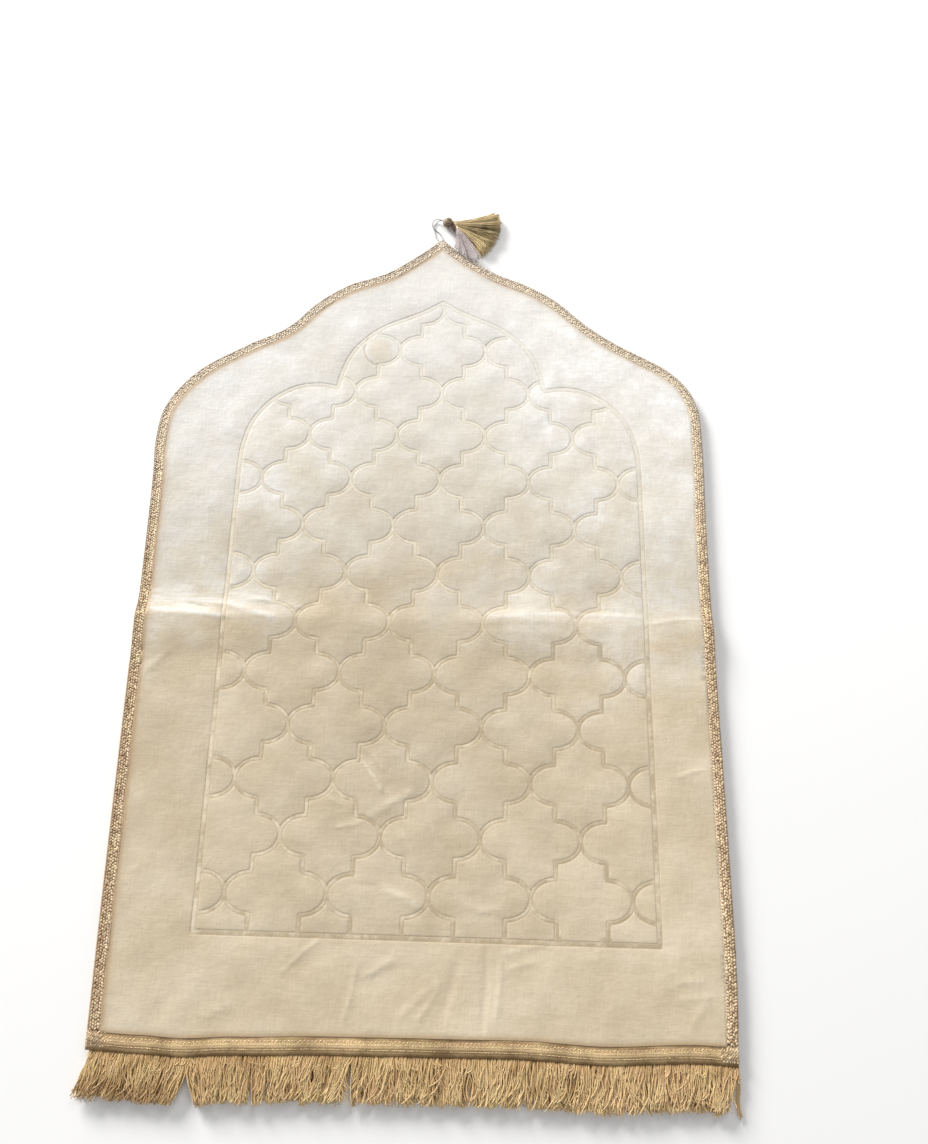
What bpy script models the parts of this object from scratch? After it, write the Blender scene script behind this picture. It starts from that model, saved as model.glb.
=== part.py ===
"""Padded velvet prayer rug with an arched top, a pressed trellis and gold trimmings.

Units are metres and +Z is up. The rug lies flat with its underside at z = 0. Its arch
points to +Y and its fringe to -Y, and a tassel lies beyond the point of the arch.
"""
import math
import random
from collections import namedtuple

import bmesh
import bpy
from mathutils import Matrix, Vector

GAP = 0.0003

# Heights above the floor.
RIM_HEIGHT = 0.0064
CUSHION_HEIGHT = 0.0092

# The rug's outer edge, which is the braid's, from the hem up to the point of the arch.
Knot = namedtuple("Knot", "x y")
LEFT_EDGE = (
    Knot(-0.3445, -0.5330),
    Knot(-0.3475, -0.3750),
    Knot(-0.3505, -0.1350),
    Knot(-0.3510, -0.0660),
    Knot(-0.3500, -0.0200),
    Knot(-0.3520, 0.1200),
    Knot(-0.3545, 0.1850),
    Knot(-0.3450, 0.2350),
    Knot(-0.3070, 0.2845),
    Knot(-0.2470, 0.3235),
    Knot(-0.1970, 0.3510),
    Knot(-0.1570, 0.3920),
    Knot(-0.1170, 0.4200),
    Knot(-0.0670, 0.4400),
    Knot(-0.0270, 0.4680),
)
ARCH_POINT = Knot(0.0080, 0.4970)
RIGHT_EDGE = (
    Knot(0.3435, -0.5310),
    Knot(0.3480, -0.4250),
    Knot(0.3475, -0.1250),
    Knot(0.3472, -0.0680),
    Knot(0.3465, -0.0250),
    Knot(0.3470, 0.0750),
    Knot(0.3490, 0.1800),
    Knot(0.3440, 0.2470),
    Knot(0.3130, 0.2925),
    Knot(0.2430, 0.3345),
    Knot(0.2030, 0.3635),
    Knot(0.1630, 0.4005),
    Knot(0.1230, 0.4245),
    Knot(0.0830, 0.4420),
    Knot(0.0430, 0.4670),
)
SHOULDER_Y = 0.1300
SIDE_SPACING = 0.060
ARCH_SPACING = 0.0155

# The line where the velvet meets the bottom tape.
HEM_Y = -0.5190
HemRow = namedtuple("HemRow", "x rise")
HEM_WAVE = (
    HemRow(-0.350, 0.0005),
    HemRow(-0.287, -0.0020),
    HemRow(-0.247, -0.0040),
    HemRow(-0.187, -0.0010),
    HemRow(-0.087, 0.0015),
    HemRow(0.013, 0.0020),
    HemRow(0.113, 0.0025),
    HemRow(0.203, -0.0010),
    HemRow(0.303, 0.0030),
    HemRow(0.350, 0.0010),
)
HEM_SPACING = 0.030

# The pad's steps, measured in from the outer edge.
PAD_INSET = 0.0008
CUSHION_INSET = 0.0138
PAD_BELOW_HEM = 0.0110

# The fold left across the middle: a raised crest with hollow flanks.
FOLD_Y = -0.0570
FoldRow = namedtuple("FoldRow", "x height half_width")
FOLD_ROWS = (
    FoldRow(-0.360, 0.0090, 0.0360),
    FoldRow(-0.200, 0.0115, 0.0380),
    FoldRow(0.020, 0.0075, 0.0400),
    FoldRow(0.200, 0.0105, 0.0380),
    FoldRow(0.360, 0.0085, 0.0360),
)
FOLD_SHARPNESS = 1.6
FOLD_CUTS = (-1.0, -0.6, -0.25, 0.0, 0.25, 0.6, 1.0)
WIDEST_FOLD = 0.0400

# The middle of the trellis, and the pressed frame drawn about its own middle line.
TRELLIS_X = 0.0130
TRELLIS_Y = -0.3750
FRAME_X = 0.0115
FRAME_HALF_WIDTH = 0.2550
FRAME_LEFT_BOTTOM = -0.0422
FRAME_RIGHT_BOTTOM = -0.0450
FRAME_LINE = 0.0070
FRAME_ARCH = (
    Knot(0.0000, 0.7685),
    Knot(0.0200, 0.7555),
    Knot(0.0450, 0.7435),
    Knot(0.0750, 0.7295),
    Knot(0.1000, 0.7105),
    Knot(0.1200, 0.6850),
    Knot(0.1310, 0.6560),
    Knot(0.1350, 0.6355),
)
FRAME_LOBE = (
    Knot(0.1350, 0.6355),
    Knot(0.1600, 0.6390),
    Knot(0.1900, 0.6335),
    Knot(0.2200, 0.6145),
    Knot(0.2425, 0.5850),
    Knot(0.2530, 0.5480),
    Knot(0.2550, 0.5100),
)
FRAME_SPACING = 0.014

# One trellis cell is two columns wide and two rows tall.
COLUMN = 0.0565
ROW = 0.0630
CELL_STEP = 0.0185
TRELLIS_LINE = 0.0050
ARC_STEPS = 2
COLUMNS_EACH_SIDE = 5
ROWS = range(-1, 13)

# The gold braid along the sides and the arch: a domed strip on the pad's rim.
Section = namedtuple("Section", "inset z")
BRAID_SECTION = (
    Section(0.0000, RIM_HEIGHT + GAP),
    Section(0.0130, RIM_HEIGHT + GAP),
    Section(0.0126, 0.0084),
    Section(0.0098, 0.0096),
    Section(0.0032, 0.0096),
    Section(0.0004, 0.0084),
)

# The ribbed tape over the hem, measured down from the hem line.
TAPE_SECTION = (
    Section(0.0004, RIM_HEIGHT + GAP),
    Section(0.0004, 0.0092),
    Section(0.0018, 0.0099),
    Section(0.0038, 0.0099),
    Section(0.0050, 0.0088),
    Section(0.0068, 0.0095),
    Section(0.0088, 0.0095),
    Section(0.0104, 0.0086),
    Section(0.0120, 0.0092),
    Section(0.0136, 0.0084),
    Section(0.0150, 0.0090),
    Section(0.0165, 0.0082),
    Section(0.0165, RIM_HEIGHT + GAP),
)
TAPE_MARGIN = 0.0010

# The fringe: a heading strip below the pad's edge, with two layers of locks.
HEADING_TOP = PAD_BELOW_HEM + GAP
HEADING_BOTTOM = 0.0172
LOCKS_IN_LAYER = 84
LOCK_LENGTH = 0.0470
LOCK_ROOT_DEPTH = 0.0030
LockLayer = namedtuple("LockLayer", "shift root_z end_z length")
LOCK_LAYERS = (
    LockLayer(0.0, 0.0012, 0.0000, 1.0),
    LockLayer(0.5, 0.0031, 0.0023, 0.95),
)
LOCK_WIDTH = 0.0058
LOCK_THICKNESS = 0.0015
PartingRow = namedtuple("PartingRow", "x width reach")
PARTINGS = (
    PartingRow(-0.236, 0.0120, 0.030),
    PartingRow(-0.168, 0.0040, 0.020),
    PartingRow(-0.008, 0.0035, 0.020),
)
EndRow = namedtuple("EndRow", "x push reach")
FRINGE_ENDS = (
    EndRow(LEFT_EDGE[0].x, -0.0080, 0.030),
    EndRow(RIGHT_EDGE[0].x, -0.0060, 0.040),
)

# The tassel lies on the floor and its skirt is spread like a fan.
TASSEL_HEAD = Vector((0.0145, 0.5268))
TASSEL_ANGLE = math.radians(-15.0)
FAN_SPREAD = math.radians(61.0)
HEAD_RADIUS = 0.0066
NECK_RADIUS = 0.0042
FAN_START = 0.0060
FAN_ROOT = 0.0260
FAN_ROOT_THICKNESS = 0.0046
FAN_LENGTH = 0.0720
FAN_STRANDS = 21
FanLayer = namedtuple("FanLayer", "shift base length")
FAN_LAYERS = (
    FanLayer(0.0, 0.0, 1.0),
    FanLayer(0.5, 0.0026, 0.94),
)
STRAND_ROOT_WIDTH = 0.0008
STRAND_TIP_WIDTH = 0.0024
STRAND_THICKNESS = 0.0016

# The thread from the point of the arch round to the tassel's head, at its own height.
ThreadPoint = namedtuple("ThreadPoint", "x y z")
THREAD_DIAMETER = 0.0016
THREAD_ROUTE = (
    ThreadPoint(0.0079, 0.4970, 0.0034),
    ThreadPoint(0.0062, 0.5015, 0.0026),
    ThreadPoint(0.0028, 0.5075, 0.0012),
    ThreadPoint(-0.0010, 0.5135, 0.0009),
    ThreadPoint(-0.0042, 0.5195, 0.0009),
    ThreadPoint(-0.0058, 0.5250, 0.0009),
    ThreadPoint(-0.0045, 0.5303, 0.0013),
    ThreadPoint(-0.0005, 0.5333, 0.0028),
    ThreadPoint(0.0044, 0.5323, 0.0048),
    ThreadPoint(0.0080, 0.5297, 0.0061),
)
THREAD_SPACING = 0.0024

SEED = 11


def clear_scene():
    for old in list(bpy.data.objects):
        bpy.data.objects.remove(old, do_unlink=True)


def make_collection(name):
    collection = bpy.data.collections.new(name)
    bpy.context.scene.collection.children.link(collection)
    return collection


def make_material(name, color, roughness, metallic):
    material = bpy.data.materials.new(name)
    material.use_nodes = True
    shader = material.node_tree.nodes["Principled BSDF"]
    shader.inputs["Base Color"].default_value = (*color, 1.0)
    shader.inputs["Roughness"].default_value = roughness
    shader.inputs["Metallic"].default_value = metallic
    return material


def add_object(name, mesh, collection):
    thing = bpy.data.objects.new(name, mesh)
    collection.objects.link(thing)
    return thing


def smooth_line(knots, spacing):
    """Points on a Catmull-Rom curve through the knots, about one spacing apart."""
    points = [Vector(knot) for knot in knots]
    points.insert(0, 2.0 * points[0] - points[1])
    points.append(2.0 * points[-1] - points[-2])
    line = [points[1]]
    for before, start, end, after in zip(points, points[1:], points[2:], points[3:]):
        steps = max(1, round((end - start).length / spacing))
        for step in range(1, steps + 1):
            t = step / steps
            line.append(
                0.5
                * (
                    2.0 * start
                    + (end - before) * t
                    + (2.0 * before - 5.0 * start + 4.0 * end - after) * t**2
                    + (3.0 * start - before - 3.0 * end + after) * t**3
                )
            )
    return line


def edge_side(knots):
    """One side of the outer edge from the hem to the point, closer set on the arch."""
    side = [knot for knot in knots if knot.y <= SHOULDER_Y]
    arch = [knot for knot in knots if knot.y >= side[-1].y]
    return smooth_line(side, SIDE_SPACING)[:-1] + smooth_line(
        (*arch, ARCH_POINT), ARCH_SPACING
    )


def outer_edge():
    """The outer edge from the lower left corner over the arch to the lower right."""
    return edge_side(LEFT_EDGE) + edge_side(RIGHT_EDGE)[-2::-1]


def inset_line(line, inset):
    """The line moved to its right by the inset, with mitred corners."""
    moved = []
    for index, point in enumerate(line):
        before = line[max(index - 1, 0)]
        after = line[min(index + 1, len(line) - 1)]
        into = (point - before) if index else (after - point)
        out = (after - point) if index < len(line) - 1 else into
        into.normalize()
        out.normalize()
        normal = Vector((into.y + out.y, -into.x - out.x)).normalized()
        miter = max(0.5, normal.dot(Vector((into.y, -into.x))))
        moved.append(point + normal * inset / miter)
    return moved


def value_at(rows, x, field):
    """A table's column at x, eased between its rows."""
    if x <= rows[0].x:
        return getattr(rows[0], field)
    for low, high in zip(rows, rows[1:]):
        if x <= high.x:
            t = (x - low.x) / (high.x - low.x)
            ease = t * t * (3.0 - 2.0 * t)
            start = getattr(low, field)
            return start + (getattr(high, field) - start) * ease
    return getattr(rows[-1], field)


def hem_y(x):
    return HEM_Y + value_at(HEM_WAVE, x, "rise")


def hem_line(left_x, right_x, below):
    """The hem from left to right, moved down by below."""
    first = math.floor(left_x / HEM_SPACING) + 1
    last = math.ceil(right_x / HEM_SPACING) - 1
    stations = [HEM_SPACING * index for index in range(first, last + 1)]
    line = []
    for x in (left_x, *stations, right_x):
        line.append(Vector((x, hem_y(x) - below)))
    return line


def closed_by_hem(line, below):
    """An edge line cut at the hem and closed along it, as one loop."""
    kept = [point for point in line if point.y > hem_y(point.x) - below + GAP]
    hem = hem_line(kept[0].x, kept[-1].x, below)
    return kept + hem[::-1]


def fold_lift(x, y):
    """How far the middle fold raises the rug at a point."""
    reach = abs(y - FOLD_Y) / value_at(FOLD_ROWS, x, "half_width")
    if reach >= 1.0:
        return 0.0
    return value_at(FOLD_ROWS, x, "height") * (1.0 - reach) ** FOLD_SHARPNESS


def lay_over_fold(mesh):
    """Cuts the mesh along the fold's rows and lifts it over the crest."""
    work = bmesh.new()
    work.from_mesh(mesh)
    for cut in FOLD_CUTS:
        bmesh.ops.bisect_plane(
            work,
            geom=work.verts[:] + work.edges[:] + work.faces[:],
            dist=1e-7,
            plane_co=(0.0, FOLD_Y + cut * WIDEST_FOLD, 0.0),
            plane_no=(0.0, 1.0, 0.0),
        )
    bmesh.ops.triangulate(work, faces=work.faces[:])
    for vert in work.verts:
        vert.co.z += fold_lift(vert.co.x, vert.co.y)
    work.to_mesh(mesh)
    work.free()


def mesh_from_curve(curve, name):
    """The curve as a closed mesh: its evaluated surface with the caps welded on."""
    scratch = bpy.data.objects.new(name, curve)
    bpy.context.scene.collection.objects.link(scratch)
    graph = bpy.context.evaluated_depsgraph_get()
    mesh = bpy.data.meshes.new_from_object(scratch.evaluated_get(graph))
    bpy.data.objects.remove(scratch, do_unlink=True)
    work = bmesh.new()
    work.from_mesh(mesh)
    bmesh.ops.remove_doubles(work, verts=work.verts[:], dist=1e-6)
    bmesh.ops.recalc_face_normals(work, faces=work.faces[:])
    work.to_mesh(mesh)
    work.free()
    mesh.name = name
    return mesh


def layer_mesh(name, loops, bottom, top):
    """Flat loops filled and extruded from bottom to top. An inner loop is a hole."""
    curve = bpy.data.curves.new(name, "CURVE")
    curve.dimensions = "2D"
    curve.fill_mode = "BOTH"
    curve.extrude = (top - bottom) / 2.0
    for loop in loops:
        spline = curve.splines.new("POLY")
        spline.points.add(len(loop) - 1)
        for point, place in zip(spline.points, loop):
            point.co = (place.x, place.y, 0.0, 1.0)
        spline.use_cyclic_u = True
    mesh = mesh_from_curve(curve, name)
    mesh.transform(Matrix.Translation((0.0, 0.0, (top + bottom) / 2.0)))
    return mesh


def band_mesh(name, line, section):
    """A band swept along the line. Its rings are mitred, so it keeps its width."""
    rails = [inset_line(line, spot.inset) for spot in section]
    work = bmesh.new()
    rings = []
    for index in range(len(line)):
        ring = []
        for rail, spot in zip(rails, section):
            ring.append(work.verts.new((rail[index].x, rail[index].y, spot.z)))
        rings.append(ring)
    for ring, following in zip(rings, rings[1:]):
        for index in range(len(section)):
            other = (index + 1) % len(section)
            work.faces.new(
                (ring[index], ring[other], following[other], following[index])
            )
    work.faces.new(rings[0])
    work.faces.new(rings[-1][::-1])
    bmesh.ops.recalc_face_normals(work, faces=work.faces[:])
    mesh = bpy.data.meshes.new(name)
    work.to_mesh(mesh)
    work.free()
    return mesh


def set_aside(thing):
    """Marks a helper that is only cut with or joined on."""
    thing.hide_render = True
    thing.display_type = "WIRE"


def add_boolean(thing, other, operation):
    boolean = thing.modifiers.new(operation.title(), "BOOLEAN")
    boolean.operation = operation
    boolean.solver = "EXACT"
    boolean.object = other
    set_aside(other)


def applied_mesh(thing):
    graph = bpy.context.evaluated_depsgraph_get()
    mesh = bpy.data.meshes.new_from_object(thing.evaluated_get(graph))
    thing.modifiers.clear()
    return mesh


def half_arc(center, radius, start, end, steps):
    """Points on an ellipse's arc, both ends included."""
    points = []
    for step in range(steps + 1):
        angle = start + (end - start) * step / steps
        x = center.x + radius.x * math.cos(angle)
        y = center.y + radius.y * math.sin(angle)
        points.append(Vector((x, y)))
    return points


def cell_quarter():
    """A quarter of one trellis cell, from its side lobe's tip up to its top point."""
    line = TRELLIS_LINE / 2.0
    wide = COLUMN / 2.0
    tall = (ROW - CELL_STEP) / 2.0
    lobe_radius = Vector((wide - line, tall - line))
    lobe = half_arc(
        Vector((wide, 0.0)), lobe_radius, 0.0, math.radians(80.0), ARC_STEPS
    )
    corner = Vector((wide - line, tall - line))
    hollow_radius = Vector((wide + line, tall + line))
    start = math.pi + math.acos(line / hollow_radius.x)
    end = math.pi + math.acos(wide / hollow_radius.x)
    hollow = half_arc(Vector((wide, ROW)), hollow_radius, start, end, ARC_STEPS)
    return lobe + [corner] + hollow


def cell_loop(column, row):
    """One whole cell's outline about its middle."""
    quarter = cell_quarter()
    mirrored = [Vector((-spot.x, spot.y)) for spot in quarter[-2::-1]]
    upper = quarter + mirrored
    lower = [Vector((spot.x, -spot.y)) for spot in upper[-2:0:-1]]
    middle = Vector((TRELLIS_X + column * COLUMN, TRELLIS_Y + row * ROW))
    return [spot + middle for spot in upper + lower]


def trellis_loops():
    loops = []
    for row in ROWS:
        for column in range(-COLUMNS_EACH_SIDE, COLUMNS_EACH_SIDE + 1):
            if (row + column) % 2:
                loops.append(cell_loop(column, row))
    return loops


def frame_loop(grow):
    """The pressed frame's middle line moved outward by grow, as a loop."""
    arch = smooth_line(FRAME_ARCH, FRAME_SPACING)
    lobe = smooth_line(FRAME_LOBE, FRAME_SPACING)
    half = arch + lobe[1:]
    left = [Vector((-spot.x, spot.y)) for spot in half[:0:-1]]
    left_foot = Vector((-FRAME_HALF_WIDTH, FRAME_LEFT_BOTTOM))
    right_foot = Vector((FRAME_HALF_WIDTH, FRAME_RIGHT_BOTTOM))
    moved = inset_line([left_foot, *left, *half, right_foot], -grow)
    for spot in (moved[0], moved[-1]):
        spot.y -= grow
    middle = Vector((FRAME_X, TRELLIS_Y))
    return [spot + middle for spot in moved]


def build_pad(collection, helpers, material):
    """The pad: one slab up to the rim and grooves, then the margin and the cells."""
    edge = outer_edge()
    rim = closed_by_hem(inset_line(edge, PAD_INSET), PAD_BELOW_HEM)
    cushion = closed_by_hem(inset_line(edge, CUSHION_INSET), 0.0)
    sunk = RIM_HEIGHT / 2.0
    half_line = FRAME_LINE / 2.0
    margin_loops = [cushion, frame_loop(half_line)]
    pad_mesh = layer_mesh("rug_pad", [rim], 0.0, RIM_HEIGHT)
    margin_mesh = layer_mesh("margin", margin_loops, sunk, CUSHION_HEIGHT)
    cell_mesh = layer_mesh("cells", trellis_loops(), sunk, CUSHION_HEIGHT)
    inside_mesh = layer_mesh("inside", [frame_loop(-half_line)], 0.0, 0.02)
    pad = add_object("rug_pad", pad_mesh, collection)
    margin = add_object("margin_layer", margin_mesh, helpers)
    cells = add_object("cell_layer", cell_mesh, helpers)
    inside = add_object("frame_inside", inside_mesh, helpers)
    add_boolean(cells, inside, "INTERSECT")
    add_boolean(pad, margin, "UNION")
    add_boolean(pad, cells, "UNION")
    pad.data = applied_mesh(pad)
    lay_over_fold(pad.data)
    pad.data.materials.clear()
    pad.data.materials.append(material)


def build_braid(collection, material):
    """The braid lies on the rim, from one end of the tape round to the other."""
    edge = outer_edge()
    kept = [point for point in edge if point.y > hem_y(point.x) + 0.004]
    first = Vector((kept[0].x, hem_y(kept[0].x) + 2.0 * GAP))
    last = Vector((kept[-1].x, hem_y(kept[-1].x) + 2.0 * GAP))
    mesh = band_mesh("edge_braid", [first, *kept, last], BRAID_SECTION)
    lay_over_fold(mesh)
    braid = add_object("edge_braid", mesh, collection)
    braid.data.materials.append(material)


def build_tape(collection, material):
    """The ribbed tape covers the hem and the braid's ends stop at it."""
    left = LEFT_EDGE[0].x - TAPE_MARGIN
    right = RIGHT_EDGE[0].x + TAPE_MARGIN
    mesh = band_mesh("bottom_tape", hem_line(left, right, 0.0), TAPE_SECTION)
    tape = add_object("bottom_tape", mesh, collection)
    tape.data.materials.append(material)


def add_strand(work, line, widths, thickness):
    """A three-sided strand along the line, closed by a cap and a pointed tip."""
    rings = []
    for index, (point, width) in enumerate(zip(line, widths)):
        before = line[max(index - 1, 0)]
        after = line[min(index + 1, len(line) - 1)]
        along = (after - before).normalized()
        side = Vector((along.y, -along.x, 0.0)).normalized() * width / 2.0
        top = Vector((0.0, 0.0, thickness))
        corners = (point - side, point + side, point + top)
        rings.append([work.verts.new(corner) for corner in corners])
    for ring, following in zip(rings, rings[1:]):
        for index in range(3):
            other = (index + 1) % 3
            work.faces.new(
                (ring[index], ring[other], following[other], following[index])
            )
    work.faces.new(rings[0][::-1])
    work.faces.new(rings[-1])


def strands_mesh(name, strands):
    """All strands of a trim as one mesh. Each strand is (line, widths, thickness)."""
    work = bmesh.new()
    for line, widths, thickness in strands:
        add_strand(work, line, widths, thickness)
    bmesh.ops.recalc_face_normals(work, faces=work.faces[:])
    mesh = bpy.data.meshes.new(name)
    work.to_mesh(mesh)
    work.free()
    return mesh


def parting_push(x):
    """How far the partings push a lock's tip sideways."""
    push = 0.0
    for parting in PARTINGS:
        away = x - parting.x
        reach = abs(away) / parting.reach
        if reach < 1.0:
            side = 1.0 if away > 0.0 else -1.0
            push += side * parting.width / 2.0 * (1.0 - reach)
    return push


def end_push(x):
    """How far the fringe's two ends lean to the left."""
    push = 0.0
    for end in FRINGE_ENDS:
        push += end.push * max(0.0, 1.0 - abs(x - end.x) / end.reach)
    return push


def lean_at(x):
    """A slow sway that neighbouring locks share, with the partings and the ends."""
    sway = 0.0030 * math.sin(x * 23.0) + 0.0016 * math.sin(x * 61.0 + 1.0)
    return sway + parting_push(x) + end_push(x)


def fringe_strands():
    wobble = random.Random(SEED)
    left = LEFT_EDGE[0].x + LOCK_WIDTH
    right = RIGHT_EDGE[0].x - LOCK_WIDTH
    pitch = (right - left) / (LOCKS_IN_LAYER - 0.5)
    strands = []
    for layer in LOCK_LAYERS:
        for index in range(LOCKS_IN_LAYER):
            x = left + (index + layer.shift) * pitch
            root_y = hem_y(x) - HEADING_BOTTOM
            length = LOCK_LENGTH * layer.length * wobble.uniform(0.95, 1.04)
            lean = lean_at(x) + wobble.uniform(-0.0003, 0.0003)
            line = (
                Vector((x, root_y + LOCK_ROOT_DEPTH, layer.root_z)),
                Vector((x + 0.35 * lean, root_y - 0.45 * length, layer.end_z)),
                Vector((x + lean, root_y - length, layer.end_z)),
            )
            widths = [LOCK_WIDTH * part for part in (0.80, 1.0, 0.75)]
            strands.append((line, widths, LOCK_THICKNESS))
    return strands


def build_fringe(collection, helpers, material):
    """The locks' roots are fused into a strip that lies below the pad's edge."""
    left = LEFT_EDGE[0].x
    right = RIGHT_EDGE[0].x
    top = hem_line(left, right, HEADING_TOP)
    bottom = hem_line(left, right, HEADING_BOTTOM)
    mesh = layer_mesh("fringe", [top + bottom[::-1]], 0.0, RIM_HEIGHT)
    fringe = add_object("fringe", mesh, collection)
    locks = add_object("locks", strands_mesh("locks", fringe_strands()), helpers)
    add_boolean(fringe, locks, "UNION")
    fringe.data.materials.append(material)


def fan_point(radius, share, z):
    """A point in the tassel's fan, with share from 0 at one side to 1 at the other."""
    angle = TASSEL_ANGLE + FAN_SPREAD * (share - 0.5)
    spot = TASSEL_HEAD + Vector((math.cos(angle), math.sin(angle))) * radius
    return Vector((spot.x, spot.y, z))


def tassel_strands():
    wobble = random.Random(SEED + 1)
    strands = []
    for layer in FAN_LAYERS:
        for index in range(FAN_STRANDS):
            share = (index + 0.25 + layer.shift) / FAN_STRANDS
            length = FAN_LENGTH * layer.length * wobble.uniform(0.93, 1.03)
            sway = wobble.uniform(-0.006, 0.006)
            line = (
                fan_point(FAN_ROOT - 0.0030, share, layer.base + 0.0006),
                fan_point(FAN_ROOT * 1.4, share + 0.5 * sway, layer.base),
                fan_point(length * 0.8, share + sway, layer.base),
                fan_point(length, share, layer.base),
            )
            middle = (STRAND_ROOT_WIDTH + STRAND_TIP_WIDTH) / 2.0
            widths = (STRAND_ROOT_WIDTH, 0.0012, middle * 1.2, STRAND_TIP_WIDTH)
            strands.append((line, widths, STRAND_THICKNESS))
    return strands


def head_mesh():
    """The wound head and its neck: a profile turned about the tassel's axis."""
    profile = [(0.0, -HEAD_RADIUS)]
    for step in range(1, 8):
        angle = math.radians(-90.0 + 19.0 * step)
        profile.append(
            (HEAD_RADIUS * math.cos(angle), HEAD_RADIUS * math.sin(angle))
        )
    profile.append((NECK_RADIUS, HEAD_RADIUS * 0.86))
    profile.append((NECK_RADIUS, HEAD_RADIUS * 1.25))
    profile.append((NECK_RADIUS * 1.1, HEAD_RADIUS * 1.9))
    profile.append((0.0, HEAD_RADIUS * 1.9))
    work = bmesh.new()
    verts = [work.verts.new((radius, 0.0, height)) for radius, height in profile]
    for start, end in zip(verts, verts[1:]):
        work.edges.new((start, end))
    bmesh.ops.spin(
        work,
        geom=work.verts[:] + work.edges[:],
        cent=(0.0, 0.0, 0.0),
        axis=(0.0, 0.0, 1.0),
        angle=math.tau,
        steps=14,
    )
    bmesh.ops.remove_doubles(work, verts=work.verts[:], dist=1e-6)
    bmesh.ops.recalc_face_normals(work, faces=work.faces[:])
    mesh = bpy.data.meshes.new("tassel")
    work.to_mesh(mesh)
    work.free()
    lie_down = Matrix.Rotation(math.pi / 2.0, 4, "Y")
    turn = Matrix.Rotation(TASSEL_ANGLE, 4, "Z")
    place = Matrix.Translation((TASSEL_HEAD.x, TASSEL_HEAD.y, HEAD_RADIUS))
    mesh.transform(place @ turn @ lie_down)
    return mesh


def build_tassel(collection, helpers, material):
    """The head, the gathered top of the skirt and the spread strands, all fused."""
    tassel = add_object("tassel", head_mesh(), collection)
    sector = [fan_point(FAN_START, 0.0, 0.0), fan_point(FAN_START, 1.0, 0.0)]
    for step in range(9):
        sector.append(fan_point(FAN_ROOT, 1.0 - step / 8.0, 0.0))
    gather = add_object(
        "gather", layer_mesh("gather", [sector], 0.0, FAN_ROOT_THICKNESS), helpers
    )
    strands = add_object(
        "strands", strands_mesh("strands", tassel_strands()), helpers
    )
    add_boolean(tassel, gather, "UNION")
    add_boolean(tassel, strands, "UNION")
    tassel.data.materials.append(material)


def build_thread(collection, material):
    """The thread that ties the tassel to the point of the arch."""
    curve = bpy.data.curves.new("tassel_thread", "CURVE")
    curve.dimensions = "3D"
    curve.bevel_depth = THREAD_DIAMETER / 2.0
    curve.bevel_resolution = 2
    curve.use_fill_caps = True
    line = smooth_line(THREAD_ROUTE, THREAD_SPACING)
    spline = curve.splines.new("POLY")
    spline.points.add(len(line) - 1)
    for point, place in zip(spline.points, line):
        point.co = (*place, 1.0)
    thread = add_object(
        "tassel_thread", mesh_from_curve(curve, "tassel_thread"), collection
    )
    thread.data.materials.append(material)


def main():
    clear_scene()
    parts = make_collection("prayer_rug")
    helpers = make_collection("helpers")
    velvet = make_material("ivory_velvet", (0.80, 0.74, 0.60), 0.55, 0.0)
    braid = make_material("gold_braid", (0.55, 0.36, 0.13), 0.40, 0.35)
    tape = make_material("gold_tape", (0.62, 0.42, 0.17), 0.35, 0.30)
    fringe = make_material("gold_fringe", (0.66, 0.47, 0.20), 0.40, 0.15)
    tassel = make_material("gold_tassel", (0.52, 0.34, 0.10), 0.40, 0.15)
    thread = make_material("pale_thread", (0.62, 0.58, 0.50), 0.40, 0.20)
    build_pad(parts, helpers, velvet)
    build_braid(parts, braid)
    build_tape(parts, tape)
    build_fringe(parts, helpers, fringe)
    build_tassel(parts, helpers, tassel)
    build_thread(parts, thread)


main()
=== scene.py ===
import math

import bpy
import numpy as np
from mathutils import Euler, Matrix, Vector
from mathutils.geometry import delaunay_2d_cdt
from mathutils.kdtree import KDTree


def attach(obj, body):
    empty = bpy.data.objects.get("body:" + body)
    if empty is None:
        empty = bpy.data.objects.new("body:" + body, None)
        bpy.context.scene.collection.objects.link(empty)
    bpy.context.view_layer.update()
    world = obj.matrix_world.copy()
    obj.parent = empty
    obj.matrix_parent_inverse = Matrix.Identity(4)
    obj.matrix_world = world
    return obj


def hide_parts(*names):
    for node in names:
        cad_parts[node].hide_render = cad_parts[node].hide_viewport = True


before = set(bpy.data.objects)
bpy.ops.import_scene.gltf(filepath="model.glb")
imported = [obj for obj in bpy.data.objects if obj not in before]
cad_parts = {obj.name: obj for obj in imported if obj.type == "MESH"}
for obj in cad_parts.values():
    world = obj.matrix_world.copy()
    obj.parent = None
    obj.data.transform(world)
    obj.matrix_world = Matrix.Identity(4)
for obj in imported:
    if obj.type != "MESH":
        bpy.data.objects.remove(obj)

# %% [markdown]
# # A padded velvet prayer rug
#
# The rug is a quilted pad of ivory velvet with an arched top. A trellis is pressed into
# it, a gold braid runs round its edge, a ribbed gold tape closes its lower hem, a silky
# fringe hangs below the tape, and a tassel is tied to the point of the arch. The solids
# of the frame give every place. Each step below dresses one of them in finer form.

MM = 0.001
TAU = math.tau
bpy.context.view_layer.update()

# %% [markdown]
# ## Camera
#
# The rug lies on the floor and is seen from above its fringe. A camera with a slightly
# long lens stands over the lower half and looks down steeply, so the sides draw together
# towards the arch. A small lens shift keeps the rug a little left of the middle.

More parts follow.
